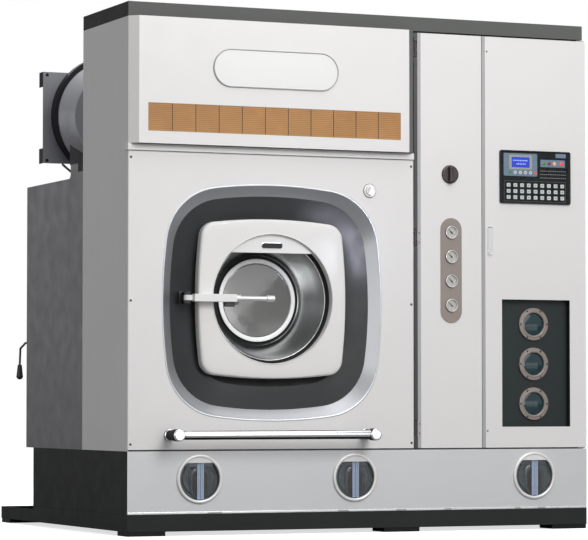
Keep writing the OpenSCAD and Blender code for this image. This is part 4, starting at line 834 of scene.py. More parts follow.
wy0, wy1 = span("door_well")[2:4]
bracket_back = span("hinge_bracket")[3]
well = rings(
    "well",
    [well_ring(0, wy0), well_ring(0.04, wy0 + 0.3), well_ring(0.5, wy0 + 5.2),
     well_ring(0.93, wy0 + 10.5), well_ring(1, wy1 - 3.2), well_ring(1.06, wy1 - 2.6),
     well_floor(wy1 - 2.6), well_floor(wy1),
     well_ring(1.0, wy1 - 0.2), well_ring(0.5, wy0 + 7.5), well_ring(0, wy0 + 2.2)],
    closed=True,
)
bracket_x0, bracket_x1, _, _, bracket_z0, bracket_z1 = span("hinge_bracket")
pad = block(
    "pad", bracket_x0, bracket_x1, bracket_back + 0.3, wy1 - 3, bracket_z0 - 2, bracket_z1 + 2, 0.8
)
WELL_SLOPE_DEPTH = 11
finish_piece(joined("well", [well, pad]), "door_well", well_grey, angle=40)
# The foot under the door is painted black: painted shade in the gap round the door.
repaint(well, rubber_shade_and_reflection, lambda middle, _: middle.y > wy0 + WELL_SLOPE_DEPTH)

# %% [markdown]
# ## The door shell
# The white door is a moulding: nearly flat round the window, then falling away to its
# edge, so that the edge catches light on one side and shade on the other. Rings go from
# the wall of the round hole, over a small lip, and change step by step from the circle to
# the bowed square of the edge.

# %% Door shell
SHELL_BOW, SHELL_CORNER = 0.075, 0.2
HOLE_R = 252
RIM_R = 256
shell_edge = bowed_square(dx1 - dx0, dz1 - dz0, SHELL_BOW, SHELL_CORNER)


def shell_ring(t, y, inset=0.0):
    """t runs from the rim of the hole (0) to the door's edge (1)."""
    outer = bowed_square(dx1 - dx0 - 2 * inset, dz1 - dz0 - 2 * inset, SHELL_BOW, SHELL_CORNER)
    return placed(between(circle_like(outer, RIM_R + 0.6), outer, t), DOOR_X, y, DOOR_Z)


def hole_ring(r, y):
    return placed(circle_like(shell_edge, r), DOOR_X, y, DOOR_Z)


SHELL_WALL = 3
shell = rings(
    "shell",
    [hole_ring(HOLE_R, dy1), hole_ring(HOLE_R, 3), hole_ring(HOLE_R + 0.4, 1),
     hole_ring(HOLE_R + 1.6, 0), hole_ring(RIM_R - 1.4, 0), hole_ring(RIM_R - 0.2, 0.7),
     hole_ring(RIM_R + 0.4, 1.9),
     shell_ring(0.1, 2.0), shell_ring(0.4, 2.2), shell_ring(0.7, 2.8), shell_ring(0.85, 3.6),
     shell_ring(0.93, 4.6), shell_ring(1, 6.2, 5), shell_ring(1, 7.6, 3), shell_ring(1, 9.6, 1.4),
     shell_ring(1, 12.2, 0.4), shell_ring(1, 15), shell_ring(1, dy1 - 1), shell_ring(1, dy1, 1),
     shell_ring(1, dy1, SHELL_WALL), shell_ring(1, 20, SHELL_WALL),
     hole_ring(HOLE_R + SHELL_WALL, 12), hole_ring(HOLE_R + SHELL_WALL, dy1)],
    closed=True,
)
finish_piece(shell, "door_shell", shell_white, angle=40)

# %% [markdown]
# ## Seal, dish and window
# Behind the white ring a black rubber seal shows as a dark band. The steel dish is a cone,
# spun from one sheet, with a rolled rim that shines. At its foot a white ring clamps the
# round pane on a black joint, which also wraps the ring's outer wall. All of these are
# profiles turned about the door's middle. The pane's edge falls back in small steps: a
# single wide step would shade the pane's face as if it were bent.

# %% Seal and dish
gy0, gy1 = span("door_gasket")[2:4]
GASKET_IN, GASKET_OUT = 240, 251.7
gasket = turned("gasket", DOOR_X, DOOR_Z, (
    (GASKET_OUT, gy1), (GASKET_OUT, gy0 + 2), (GASKET_OUT - 1, gy0 + 0.5), (GASKET_OUT - 3, gy0),
    (246, gy0 + 0.6), (243, gy0 + 3), (GASKET_IN + 0.6, gy0 + 7), (GASKET_IN, gy0 + 10),
    (GASKET_IN, gy1),
))
finish_piece(gasket, "door_gasket", rubber_shade_and_reflection)

sx0, sx1, sy0, sy1, _, _ = span("door_dish")
DISH_R = (sx1 - sx0) / 2
RING_R, PANE_R = 164, 146
dish = turned("dish", DOOR_X, DOOR_Z, (
    (DISH_R, sy0 + 1.2), (DISH_R - 0.5, sy0 + 0.3), (DISH_R - 1.4, sy0),
    (DISH_R - 2.6, sy0 + 0.2), (DISH_R - 3.4, sy0 + 1.4), (DISH_R - 4.4, sy0 + 4), (229.5, 66),
    (219, 91), (208, 117), (197.5, 140), (191, 153), (187, 161), (183.5, 167.5), (179.5, 172.6),
    (175, 175.4), (168, sy1 - 2), (150, sy1 - 2), (150, sy1), (175, sy1 - 0.2), (184, sy1 - 3.2),
    (189, 168), (210.5, 117), (232, 66), (DISH_R - 2, 46), (DISH_R, 43.6),
), count=128)
finish_piece(dish, "door_dish", dish_steel, angle=50)

# %% Window ring, joint and pane
_, _, ry0, ry1, _, _ = span("door_glass_ring")
window_ring = turned("window_ring", DOOR_X, DOOR_Z, (
    (RING_R, ry1), (RING_R, ry0 + 4), (RING_R - 1.2, ry0 + 1.4), (RING_R - 4, ry0),
    (PANE_R + 4, ry0), (PANE_R + 1, ry0 + 1.2), (PANE_R, ry0 + 3.4), (PANE_R, ry1),
), count=128)
# The ring's paint glows a little: a painted highlight.
finish_piece(window_ring, "door_glass_ring", ring_painted_glow)
joint = turned("window_joint", DOOR_X, DOOR_Z, (
    (RING_R + 0.2, ry0 + 1.6), (RING_R + 1.4, ry0 + 1.8), (RING_R + 2.2, ry0 + 3),
    (RING_R + 2.6, sy1 - 6), (RING_R + 4, sy1 - 4.4), (RING_R + 13, sy1 - 4.2),
    (RING_R + 15.4, sy1 - 3.6), (RING_R + 16, sy1 - 2.1), (RING_R + 0.2, sy1 - 2.1),
), count=128)
finish_piece(joint, "door_dish", rubber_shade_and_reflection, stands_in=False)

_, _, py0, py1, _, _ = span("door_glass")
pane = disc("pane", DOOR_X, DOOR_Z, (
    (2, py0), (60, py0 + 0.08), (110, py0 + 0.25), (PANE_R - 5, py0 + 0.45),
    (PANE_R - 3.4, py0 + 0.5), (PANE_R - 0.5, py0 + 1.4), (PANE_R - 0.5, py1), (2, py1),
), count=96)
finish_piece(pane, "door_glass", door_pane)

# %% [markdown]
# ## The cap with its plain badge
# The upper part of the window opening is closed by a white plate with a straight lower
# edge. It is a disc, cut once along its chord. On it sits a small dark oval badge with a
# bright rim: two stadium outlines, one inside the other.

# %% Cap and badge
_, _, cy0, cy1, cz0, _ = span("door_cap")
BADGE_FRONT = cy0
CAP_FRONT = cy0 + 2


def cut(obj, place, normal, keep_below=True):
    """Cut a mesh with a plane and close the cut."""
    edit(obj)
    bpy.ops.mesh.bisect(
        plane_co=at(*place), plane_no=normal, use_fill=True, clear_inner=not keep_below,
        clear_outer=keep_below
    )
    bpy.ops.object.mode_set(mode="OBJECT")


cap = disc("cap", DOOR_X, DOOR_Z, (
    (HOLE_R - 1.5, CAP_FRONT), (HOLE_R - 0.6, CAP_FRONT + 0.5), (HOLE_R - 0.4, CAP_FRONT + 1),
    (HOLE_R - 0.4, cy1),
), count=160)
cut(cap, (DOOR_X, 0, cz0), (0, 0, 1), keep_below=False)
finish_piece(cap, "door_cap", snow)

BADGE_W, BADGE_H, BADGE_RIM = 92, 26, 2.9
BADGE_Z = DOOR_Z + 208


def stadium(w, h, steps=12):
    """Points of a bar with round ends, counted once round."""
    r = h / 2
    angles = [pi * (i / steps - 0.5) for i in range(steps + 1)]
    right = [(w / 2 - r + r * cos(a), r * sin(a)) for a in angles]
    return right + [(-x, -z) for x, z in right]


badge_rim = rings(
    "badge_rim",
    [placed(stadium(BADGE_W - 2 * inset, BADGE_H - 2 * inset), DOOR_X, y, BADGE_Z) for inset, y in (
        (0, CAP_FRONT), (0, BADGE_FRONT + 1), (0.6, BADGE_FRONT + 0.2), (1.6, BADGE_FRONT),
        (2.4, BADGE_FRONT + 0.4), (BADGE_RIM, BADGE_FRONT + 1.2), (BADGE_RIM, CAP_FRONT),
    )],
    closed=True,
)
finish_piece(badge_rim, "door_cap", chrome, stands_in=False)
badge = rings(
    "badge_face",
    [placed(stadium(BADGE_W - 2 * BADGE_RIM, BADGE_H - 2 * BADGE_RIM), DOOR_X, y, BADGE_Z)
     for y in (BADGE_FRONT + 1.2, CAP_FRONT)],
    caps="front",
)
finish_piece(badge, "door_cap", black_gloss, stands_in=False)

# %% [markdown]
# ## Hinge, arm and grip rod
# The door hangs on a black cast bracket in the well. A white square arm crosses the door
# from the hinge, ends in a steel collar, and goes on as a round rod with a tip: one pushes
# the tip to close the door evenly on its seal.

# %% Turned along x and along z
def turned_x(name, y, z, profile, count=48):
    """A solid turned piece whose axis runs left to right. The profile is (x, radius) pairs."""
    return rings(name, [
        [(x, y + r * c, z + r * s) for c, s in round_points(count)] for x, r in profile
    ], caps="front back")


def turned_z(name, x, y, profile, count=48):
    """A solid turned piece that stands upright. The profile is (z, radius) pairs."""
    return rings(name, [
        [(x + r * c, y + r * s, z) for c, s in round_points(count)] for z, r in profile
    ], caps="front back")


# %% Hinge bracket
hx0, hx1, _, hy1, hz0, hz1 = span("hinge_bracket")
PIN_X, PIN_Y = (hx0 + hx1) / 2, -10
EAR_R, EAR_T, RIB_HALF = 14, 12, 8
bracket_pieces = [
    block("foot", hx0, hx1, hy1 - 5, hy1, hz0, hz1, 1.5),
    block(
        "rib", PIN_X - RIB_HALF, PIN_X + RIB_HALF, PIN_Y + EAR_R + 4, hy1 - 4, hz0 + 1, hz1 - 1, 1
    ),
    turned_z("pin", PIN_X, PIN_Y, ((hz0 + 0.4, 5), (hz0 + 1, 6), (hz1 - 1, 6), (hz1 - 0.4, 5))),
]
for low in (hz0, hz1 - EAR_T):
    neck_z0, neck_z1 = low + 0.5, low + EAR_T - 0.5
    bracket_pieces.append(
        block("ear_neck", PIN_X - RIB_HALF, PIN_X + RIB_HALF, PIN_Y, hy1 - 4, neck_z0, neck_z1, 1)
    )
    bracket_pieces.append(turned_z("ear", PIN_X, PIN_Y, (
        (low, EAR_R - 1.5), (low + 1.5, EAR_R), (low + EAR_T - 1.5, EAR_R),
        (low + EAR_T, EAR_R - 1.5),
    )))
finish_piece(joined("hinge_bracket_piece", bracket_pieces), "hinge_bracket", black_satin)

# %% Arm, collar and rod
_, ax1, _, _, az0, _ = span("door_arm")
ARM_HALF, ARM_LENGTH, EYE_HALF = 15, 200, 10.4
ARM_END = PIN_X + ARM_LENGTH
ROD_Y = PIN_Y - 7
arm_z0, arm_z1 = DOOR_Z - ARM_HALF, DOOR_Z + ARM_HALF
eye_z0, eye_z1 = DOOR_Z - EYE_HALF, DOOR_Z + EYE_HALF
arm_pieces = [
    block(
        "arm", PIN_X + EAR_R + 9, ARM_END, PIN_Y - ARM_HALF - 7, PIN_Y + ARM_HALF - 7,
        arm_z0, arm_z1, 1.6, 3,
    ),
    block("neck", PIN_X + 6, PIN_X + 32, PIN_Y - 8, PIN_Y + 4, eye_z0, eye_z1, 1.2),
    turned_z("eye", PIN_X, PIN_Y, (
        (eye_z0, 12), (DOOR_Z - 9.4, 13), (DOOR_Z + 9.4, 13), (eye_z1, 12),
    )),
    block("foot", dx0 + 9, DOOR_X - RIM_R - 3, -16, 1.4, DOOR_Z - 12, DOOR_Z + 12, 1),
]
finish_piece(joined("arm", arm_pieces), "door_arm", snow)
rod = turned_x("rod", ROD_Y, DOOR_Z, (
    (ARM_END - 2, 11), (ARM_END + 0.5, 12.6), (ARM_END + 1.5, 13), (ARM_END + 19, 13),
    (ARM_END + 20.5, 12), (ARM_END + 21, 9.2), (ax1 - 33, 9), (ax1 - 32.5, 11.6),
    (ax1 - 31, 12.5), (ax1 - 2, 12.5), (ax1 - 0.5, 11.5), (ax1, 10),
))
finish_piece(rod, "door_arm", latch_metal, stands_in=False)
lug = block(
    "lug", PIN_X + 154, PIN_X + 195, PIN_Y - 9, PIN_Y + 7, az0, arm_z0 + 1, 2.5, 3
)
finish_piece(lug, "door_arm", black_satin, stands_in=False)

# %% [markdown]
# ## The handrail
# A chromed tube on two stout posts. Each post has a small flange where it meets the panel
# and a rounded face, which shows as a bright disc from the front. The posts' sides and the
# tube's underside are painted black: in the room they mirror the dark below the rail.

# %% Handrail
mx0, mx1, my0, _, mz0, mz1 = span("handrail")
POST_R = (mz1 - mz0) / 2
RAIL_R = 17.5
RAIL_Z = (mz0 + mz1) / 2
RAIL_Y = my0 + POST_R + 1.5
rail_pieces = [turned_x("rail", RAIL_Y, RAIL_Z, ((mx0 + POST_R, RAIL_R), (mx1 - POST_R, RAIL_R)))]
for post_x in (mx0 + POST_R, mx1 - POST_R):
    rail_pieces.append(disc("post", post_x, RAIL_Z, (
        (POST_R - 6, my0), (POST_R - 2.5, my0 + 0.7), (POST_R - 0.6, my0 + 2.6),
        (POST_R, my0 + 5.5), (POST_R, my0 + 46), (POST_R - 1, my0 + 48),
        (POST_R - 4, my0 + 49.5), (POST_R - 4.5, my0 + 52), (POST_R - 4.5, -12),
        (POST_R - 3.5, -9.5), (POST_R - 1, -8), (POST_R, -6.5), (POST_R, -1.5),
        (POST_R - 0.5, -0.2),
    )))
rail = finish_piece(joined("rail", rail_pieces), "handrail", chrome)
# The posts' sides are painted black: a painted reflection of the dark below the rail.
repaint(rail, rubber_shade_and_reflection, lambda middle, normal: (
    abs(normal.y) < 0.5 and middle.y > my0 + 6
    and min(middle.x - mx0, mx1 - middle.x) < 2 * POST_R + 1
))
# The tube's underside is painted black: a painted reflection of the dark below the rail.
repaint(rail, rubber_shade_and_reflection, lambda middle, normal: (
    normal.z < -0.5 and mx0 + 3 * POST_R < middle.x < mx1 - 3 * POST_R
))

# %% [markdown]
# ## The sheet metal
# The cabinet, the lid, the doors, the tank and the base are folded from sheet and welded.
# Their outlines are right in the CAD model already, so each is copied, cleaned of the triangles
# that its flat faces were cut into, and given small round edges: a fold has a radius of about the
# sheet's own thickness. Those rounds catch a thin line of light. Three of them take a second paint:
# the lid's left side and the control door's opening take painted shade, and later the frame's part
# of the gauge door's hinges takes dark iron.

# %% Doors, panels and lid
SOFT_EDGES = {
    "front_panel": (cream, 1.2), "side_panels": (side_paint, 1.0),
    "skid_base": (dark_paint_and_shade, 1.6), "floor_pads": (rubber_shade_and_reflection, 1.2),
    "rear_cover": (rear_grey, 0.8),
    "sight_panel": (sight_dark_and_shade, 0.6), "valve_lever": (iron_and_painted_shade, 0.5), "drain_valve": (brass, 1.0),
    "drive_motor": (motor_blue, 1.5), "fan_motor": (motor_blue, 1.5), "motor_pulley": (iron_and_painted_shade, 0.6),
    "drum_pulley": (iron_and_painted_shade, 0.8), "drive_belt": (rubber_shade_and_reflection, 0.8),
    "distillation_still": (still_steel, 1.5),
    "solvent_filter": (still_steel, 1.5), "fan_wheel": (zinc, 0.4), "gauge_plate": (taupe, 0.6),
}
for node, (finish, edge) in SOFT_EDGES.items():
    finish_piece(softened(node, edge), node, finish, angle=40)
lid = finish_piece(softened("top_lid", 1.6), "top_lid", lid_grey, angle=40)
# The lid's left side is painted darker than its front: painted shade on the side away from the
# light.
repaint(lid, lid_side_painted_shade, lambda _, normal: normal.x < -0.5)
frame_piece = finish_piece(softened("cabinet_frame", 0.6), "cabinet_frame", frame_grey, angle=40)
control_sheet = finish_piece(softened("control_door", 1.6), "control_door", cream, angle=40)
view_x0, view_x1, _, _, view_z0, view_z1 = span("sight_panel")
# The inner walls of the opening are painted dark: painted shade inside the recess.
repaint(control_sheet, sight_dark_and_shade, lambda middle, normal: (
    abs(normal.y) < 0.5 and middle.y > 1.5
    and view_x0 - 20 < middle.x < view_x1 + 12 and view_z0 - 20 < middle.z < view_z1 + 20
))
print("softened copies:", len(SOFT_EDGES) + 3)

# %% [markdown]
# The tank is dark paint at its sides and back, with a skin of brushed steel on its front.
# The skin is the same mesh: its forward faces, found by their normal, take the steel. A
# thin bright lip runs along its foot, with small tabs where the skin is hooked on.

# %% Tank
tank_x0, tank_x1, _, _, tank_z0, _ = span("solvent_tank")
tank = finish_piece(softened("solvent_tank", 1.5), "solvent_tank", dark_paint_and_shade, angle=40)
repaint(
    tank, tank_front, lambda middle, normal: middle.y < 4 and (normal.y < -0.6 or normal.z > 0.6)
)
lip = block("tank_lip", tank_x0 + 2, tank_x1 - 2, -1.2, 1, tank_z0 + 1, tank_z0 + 9, 0.5)
finish_piece(lip, "solvent_tank", polished, stands_in=False)
TABS = ((330, 60), (880, 46), (1130, 46), (1345, 30), (1660, 26), (1765, 34), (1850, 4), (1910, 4))
tabs = [block("tab", x, x + w, -1.6, 0.6, tank_z0 + 1.5, tank_z0 + 8, 0.5) for x, w in TABS]
finish_piece(joined("tank_tabs", tabs), "solvent_tank", zinc, stands_in=False)

# %% [markdown]
# Some folded parts show two paints: painted shade, because the eye reads a fold in the shade as a
# dark line. The fascia's underside is painted dark grey and its right end a middle grey, both
# painted shade, but the white strip under it stays white.

# %% Fascia
fascia = finish_piece(softened("fascia", 1.2), "fascia", cream, angle=40)
lip_top = span("front_panel")[5] + 2
# The underside is painted dark: painted shade under the fascia.
repaint(fascia, dark_paint_and_shade, lambda middle, normal: middle.z > lip_top - 1 and normal.z < -0.6)
# The right end is painted a middle grey: painted shade on the end away from the light.
repaint(fascia, fascia_end_shade, lambda middle, normal: middle.z > lip_top - 1 and normal.x > 0.4)

# %% [markdown]
# The gauge door has a grey strip along its hinges, so the face is cut there first, and its
# knuckles are bare dark steel. A thin brown cover hides the groove beside the strip. It
# rides on the door, so it leaves a gap at each of the three hinges: whole, it would cut
# into them as the door swings.

# %% Gauge door and its hinge line
door_x0, _, _, _, door_z0, door_z1 = span("gauge_door")
GROOVE_X, HINGE_STRIP, COVER_W = door_x0 + 13, 15, 15
gauge_sheet = sliced(softened("gauge_door", 1.6), (GROOVE_X + HINGE_STRIP, 0, 0), (1, 0, 0))
finish_piece(gauge_sheet, "gauge_door", cream, angle=40)
repaint(gauge_sheet, seam_grey, lambda middle, _: (
    GROOVE_X < middle.x < GROOVE_X + HINGE_STRIP and middle.y < 1.7
))
repaint(gauge_sheet, iron_and_painted_shade, lambda middle, _: middle.x < GROOVE_X)
repaint(frame_piece, iron_and_painted_shade, lambda middle, _: (
    GROOVE_X - COVER_W - 2 < middle.x < GROOVE_X and middle.y < 24.5
))
LOW_HINGE, HIGH_HINGE, HINGE_HALF = span("rear_cover")[4] + 84, span("top_lid")[4] - 71, 33
HINGES = (LOW_HINGE, (LOW_HINGE + HIGH_HINGE) / 2 + 2, HIGH_HINGE)
cover_ends = [door_z0] + [z + side * HINGE_HALF for z in HINGES for side in (-1, 1)] + [door_z1]
covers = [
    block("hinge_cover", GROOVE_X - COVER_W, GROOVE_X + 0.4, -0.2, 0.8, low, high, 0.3)
    for low, high in zip(cover_ends[::2], cover_ends[1::2])
]
finish_piece(joined("hinge_covers", covers), "gauge_door", strip_brown, stands_in=False)

# %% [markdown]
# ## The grille in the fascia
# A row of thin slats behind eleven openings, moulded in orange plastic. Each slat leans
# back, so that it shows its lit face and hides the gap behind it. The upright bars stand a
# little in front of the slats.

# %% Grille
lx0, lx1, ly0, ly1, lz0, lz1 = span("fascia_grille")
SLATS, CELLS = 14, 11
SLAT_T, SLAT_RISE, LEAN = 1.2, 6.8, 24
POST_W, BAR_T = 2.2, 1.9
slats = [block("grille_back", lx0, lx1, ly1 - 1, ly1, lz0, lz1, 0.2)]
pitch = (lz1 - lz0 - 4) / SLATS
for i in range(SLATS):
    middle = lz0 + 2 + pitch * (i + 0.5)
    slat = block(
        "slat", lx0 + 1, lx1 - 1, ly0 + BAR_T, ly0 + BAR_T + SLAT_T,
        middle - SLAT_RISE / 2, middle + SLAT_RISE / 2, 0.4, 1,
    )
    edit(slat)
    bpy.ops.transform.rotate(
        value=radians(LEAN), orient_axis="X", center_override=at((lx0 + lx1) / 2, ly0 + 2.5, middle)
    )
    bpy.ops.object.mode_set(mode="OBJECT")
    slats.append(slat)
slats.append(block("grille_foot", lx0, lx1, ly0 + 0.8, ly1, lz0, lz0 + 2, 0.3))
slats.append(block("grille_head", lx0, lx1, ly0 + 0.8, ly1, lz1 - 2, lz1, 0.3))
finish_piece(joined("grille", slats), "fascia_grille", louvre_orange)
bars = []
for i in range(CELLS + 1):
    x = lx0 + (lx1 - lx0 - POST_W) * i / CELLS
    bars.append(block("bar", x, x + POST_W, ly0, ly0 + 2.2, lz0 + 0.5, lz1 - 0.5, 0.4))
finish_piece(joined("grille_bars", bars[1:-1]), "fascia_grille", brown, stands_in=False)
finish_piece(
    joined("grille_ends", [bars[0], bars[-1]]), "fascia_grille", louvre_orange, stands_in=False
)

# %% [markdown]
# ## The plaque
# A white enamelled plate with round ends in a thin frame. Both are stadium outlines, drawn
# in ring by ring: the plate is a shallow dome, and the frame a small rounded bar.

# %% Plaque
qx0, qx1, qy0, qy1, qz0, qz1 = span("name_plaque")
PLAQUE = ((qx0 + qx1) / 2, (qz0 + qz1) / 2, qx1 - qx0, qz1 - qz0)


def plaque_ring(inset, y):
    x, z, w, h = PLAQUE
    return placed(stadium(w - 2 * inset, h - 2 * inset, 24), x, y, z)


plate = rings("plaque", [plaque_ring(inset, y) for inset, y in (
    (60, qy0 + 2.0), (30, qy0 + 2.1), (8, qy0 + 2.4), (4, qy0 + 2.6), (4, qy1),
)], caps="front")
finish_piece(plate, "name_plaque", snow)
plaque_frame = rings("plaque_frame", [plaque_ring(inset, y) for inset, y in (
    (0, qy1), (0, qy0 + 2), (0.6, qy0 + 0.7), (1.8, qy0), (3.6, qy0 + 0.3), (4.6, qy0 + 1.4),
    (4.8, qy0 + 2.8), (4.8, qy1),
)], closed=True)
finish_piece(plaque_frame, "name_plaque", frame_grey, stands_in=False)

# %% [markdown]
# ## Screws
# The panels are held by small dark screws. From the photograph's distance only the domed
# head shows, so each is a head turned from five rings.

# %% Screws
def screw(name, x, z, r, front, back):
    """A domed screw head."""
    return disc(name, x, z, (
        (r * 0.3, front), (r * 0.6, front + 0.12), (r * 0.85, front + 0.4), (r, front + 0.9),
        (r, back),
    ), count=24)


screw_x0, screw_x1, screw_y0, screw_y1, _, _ = span("panel_screws")
panel_foot, panel_top = span("front_panel")[4:6]
SCREW_R, HEAD_R, SMALL_HEAD_R, HINGE_HEAD_R = 4, 4.8, 3.4, 3.2
FROM_FOOT, FROM_TOP, FROM_HINGE = 21, 26, 19
screw_rows = (
    panel_foot + FROM_FOOT, (panel_foot + FROM_FOOT + panel_top - FROM_TOP) / 2,
    panel_top - FROM_TOP,
)
screws = [
    screw("screw", x, z, HEAD_R, screw_y0, screw_y1)
    for x in (screw_x0 + SCREW_R, screw_x1 - SCREW_R - 5) for z in screw_rows
]
hinge_rows = [z + side * FROM_HINGE for z in HINGES[:2] for side in (-1, 1)]
screws += [
    screw("screw", screw_x1 + 2.5, z, HINGE_HEAD_R, screw_y0 + 0.4, screw_y1) for z in hinge_rows
]
finish_piece(joined("screws", screws), "panel_screws", iron_and_painted_shade)

# %% Screws of the strip, the door and its hinge line
LIP_SCREW_X, LIP_SCREW_Z = 1182, 1487.5
lip_screw = screw("lip_screw", LIP_SCREW_X, LIP_SCREW_Z, SMALL_HEAD_R, -1.2, 0.5)
finish_piece(lip_screw, "front_panel", iron_and_painted_shade, stands_in=False)
DOOR_SCREW_X, DOOR_SCREW_ROWS = 1539, (397, 1926)
control_front = span("control_door")[2]
door_screws = [
    screw("door_screw", DOOR_SCREW_X, z, SMALL_HEAD_R, control_front - 0.6, control_front + 1)
    for z in DOOR_SCREW_ROWS
]
finish_piece(joined("door_screws", door_screws), "control_door", iron_and_painted_shade, stands_in=False)
strip_screws = [screw("screw", GROOVE_X + 8, z, HINGE_HEAD_R, -1.2, 0.5) for z in hinge_rows]
finish_piece(joined("strip_screws", strip_screws), "gauge_door", iron_and_painted_shade, stands_in=False)

# %% [markdown]
# ## The back: rear housing and fan
# The rear housing is painted a violet grey. Beside its upstand stands a gusset of black
# steel. On the roof a fan stands on edge in front of its bolted plate: a dark spiral case,
# then a cone, which is the lightest part, and a flat round cover.

# %% Rear housing
house_top = span("rear_cover")[5]
house = finish_piece(softened("rear_housing", 1.2), "rear_housing", rear_grey, angle=40)
repaint(house, fan_dark, lambda middle, _: 2.4 < middle.x < 8 and middle.z > house_top + 3)

# %% Fan
wheel_x0, wheel_x1, _, _, wheel_z0, wheel_z1 = span("fan_wheel")
FAN_X, FAN_Z = (wheel_x0 + wheel_x1) / 2, (wheel_z0 + wheel_z1) / 2
fan_y0 = span("fan_housing")[2]
CASE_Y, CONE_R, FACE_R = fan_y0 + 52, 241, 184
volute = softened("fan_housing", 0.8)
edit(volute, "FACE")
select_faces(volute, lambda middle, _: middle.y < CASE_Y - 0.5)
bpy.ops.mesh.delete(type="FACE")
bpy.ops.object.mode_set(mode="OBJECT")
finish_piece(volute, "fan_housing", fan_dark)
fan_cone = turned("fan_cone", FAN_X, FAN_Z, (
    (CONE_R, CASE_Y + 0.4), (CONE_R, CASE_Y - 2.5), (CONE_R - 2, CASE_Y - 6),
    (CONE_R - 9, CASE_Y - 13), (FACE_R + 26, fan_y0 + 18), (FACE_R + 10, fan_y0 + 5),
    (FACE_R + 3, fan_y0 + 1.2), (FACE_R, fan_y0 + 0.4), (FACE_R - 2, fan_y0 + 1.4),
    (FACE_R - 2, fan_y0 + 3), (FACE_R + 24, fan_y0 + 21), (CONE_R - 10, CASE_Y - 8),
    (CONE_R - 5, CASE_Y + 0.4),
), count=128)
finish_piece(fan_cone, "fan_housing", cone_grey, stands_in=False, angle=50)
fan_face = disc("fan_face", FAN_X, FAN_Z, (
    (20, fan_y0 + 1.6), (FACE_R - 1.8, fan_y0 + 1.8), (FACE_R - 1.8, fan_y0 + 3),
), count=128)
finish_piece(fan_face, "fan_housing", fan_grey, stands_in=False)
stand_x0, stand_x1, stand_y0 = span("fan_plate")[:3]
stand = finish_piece(softened("fan_plate", 0.8), "fan_plate", fan_grey, angle=40)
repaint(stand, fan_dark, lambda middle, _: middle.y > stand_y0 + 4)
BOLT_IN, BOLT_UP = 18, 178
stand_bolts = [
    disc("stand_bolt", x, FAN_Z + side * BOLT_UP, (
        (3, stand_y0 - 2.4), (6.4, stand_y0 - 1.8), (7, stand_y0 - 0.6), (7, stand_y0 + 3.6),
    ), count=24)
    for x in (stand_x0 + BOLT_IN, stand_x1 - BOLT_IN) for side in (-1, 1)
]
finish_piece(joined("stand_bolts", stand_bolts), "fan_plate", fan_dark, stands_in=False)

# %% [markdown]
# ## Sight windows of the tank
# Three round windows show how full the tank's chambers are. Each has a turned steel frame
# whose upper part is closed by a plain white plate. Behind the pane stands a dark chamber
# with an oval boss and a pair of pale blue scale strips with ticks. The ticks are thin
# blocks, not a picture, so that they stay sharp from near by.

# %% Tank windows
wx0, wx1, frame_y0, _, wz0, wz1 = span("tank_bezels")
WINDOW_R, CLEAR_R, CHORD = 95, 82, 62
WINDOW_Z, MIDDLE_WINDOW_X = (wz0 + wz1) / 2, 952
scale_y0, cup_y1 = span("level_scales")[2:4]
window_places = (wx0 + WINDOW_R, MIDDLE_WINDOW_X, wx1 - WINDOW_R)
BACK, CORE_Z, SHIFT = scale_y0 + 10, WINDOW_Z - 16, 5
STRIP_APART, STRIP_HALF, SCALE_TICKS, TICK_PITCH = 7.4, 6.6, 24, 5.5
frames, caps, cups, bosses, strips, panes, ticks = [], [], [], [], [], [], []


def upright_oval(name, x, h, w, steps):
    """An oval boss in a window. The steps are (inset, y) pairs in mm."""
    return rings(name, [
        placed([(px, pz) for pz, px in stadium(h - 2 * inset, w - 2 * inset)], x, y, CORE_Z)
        for inset, y in steps
    ], caps="back")


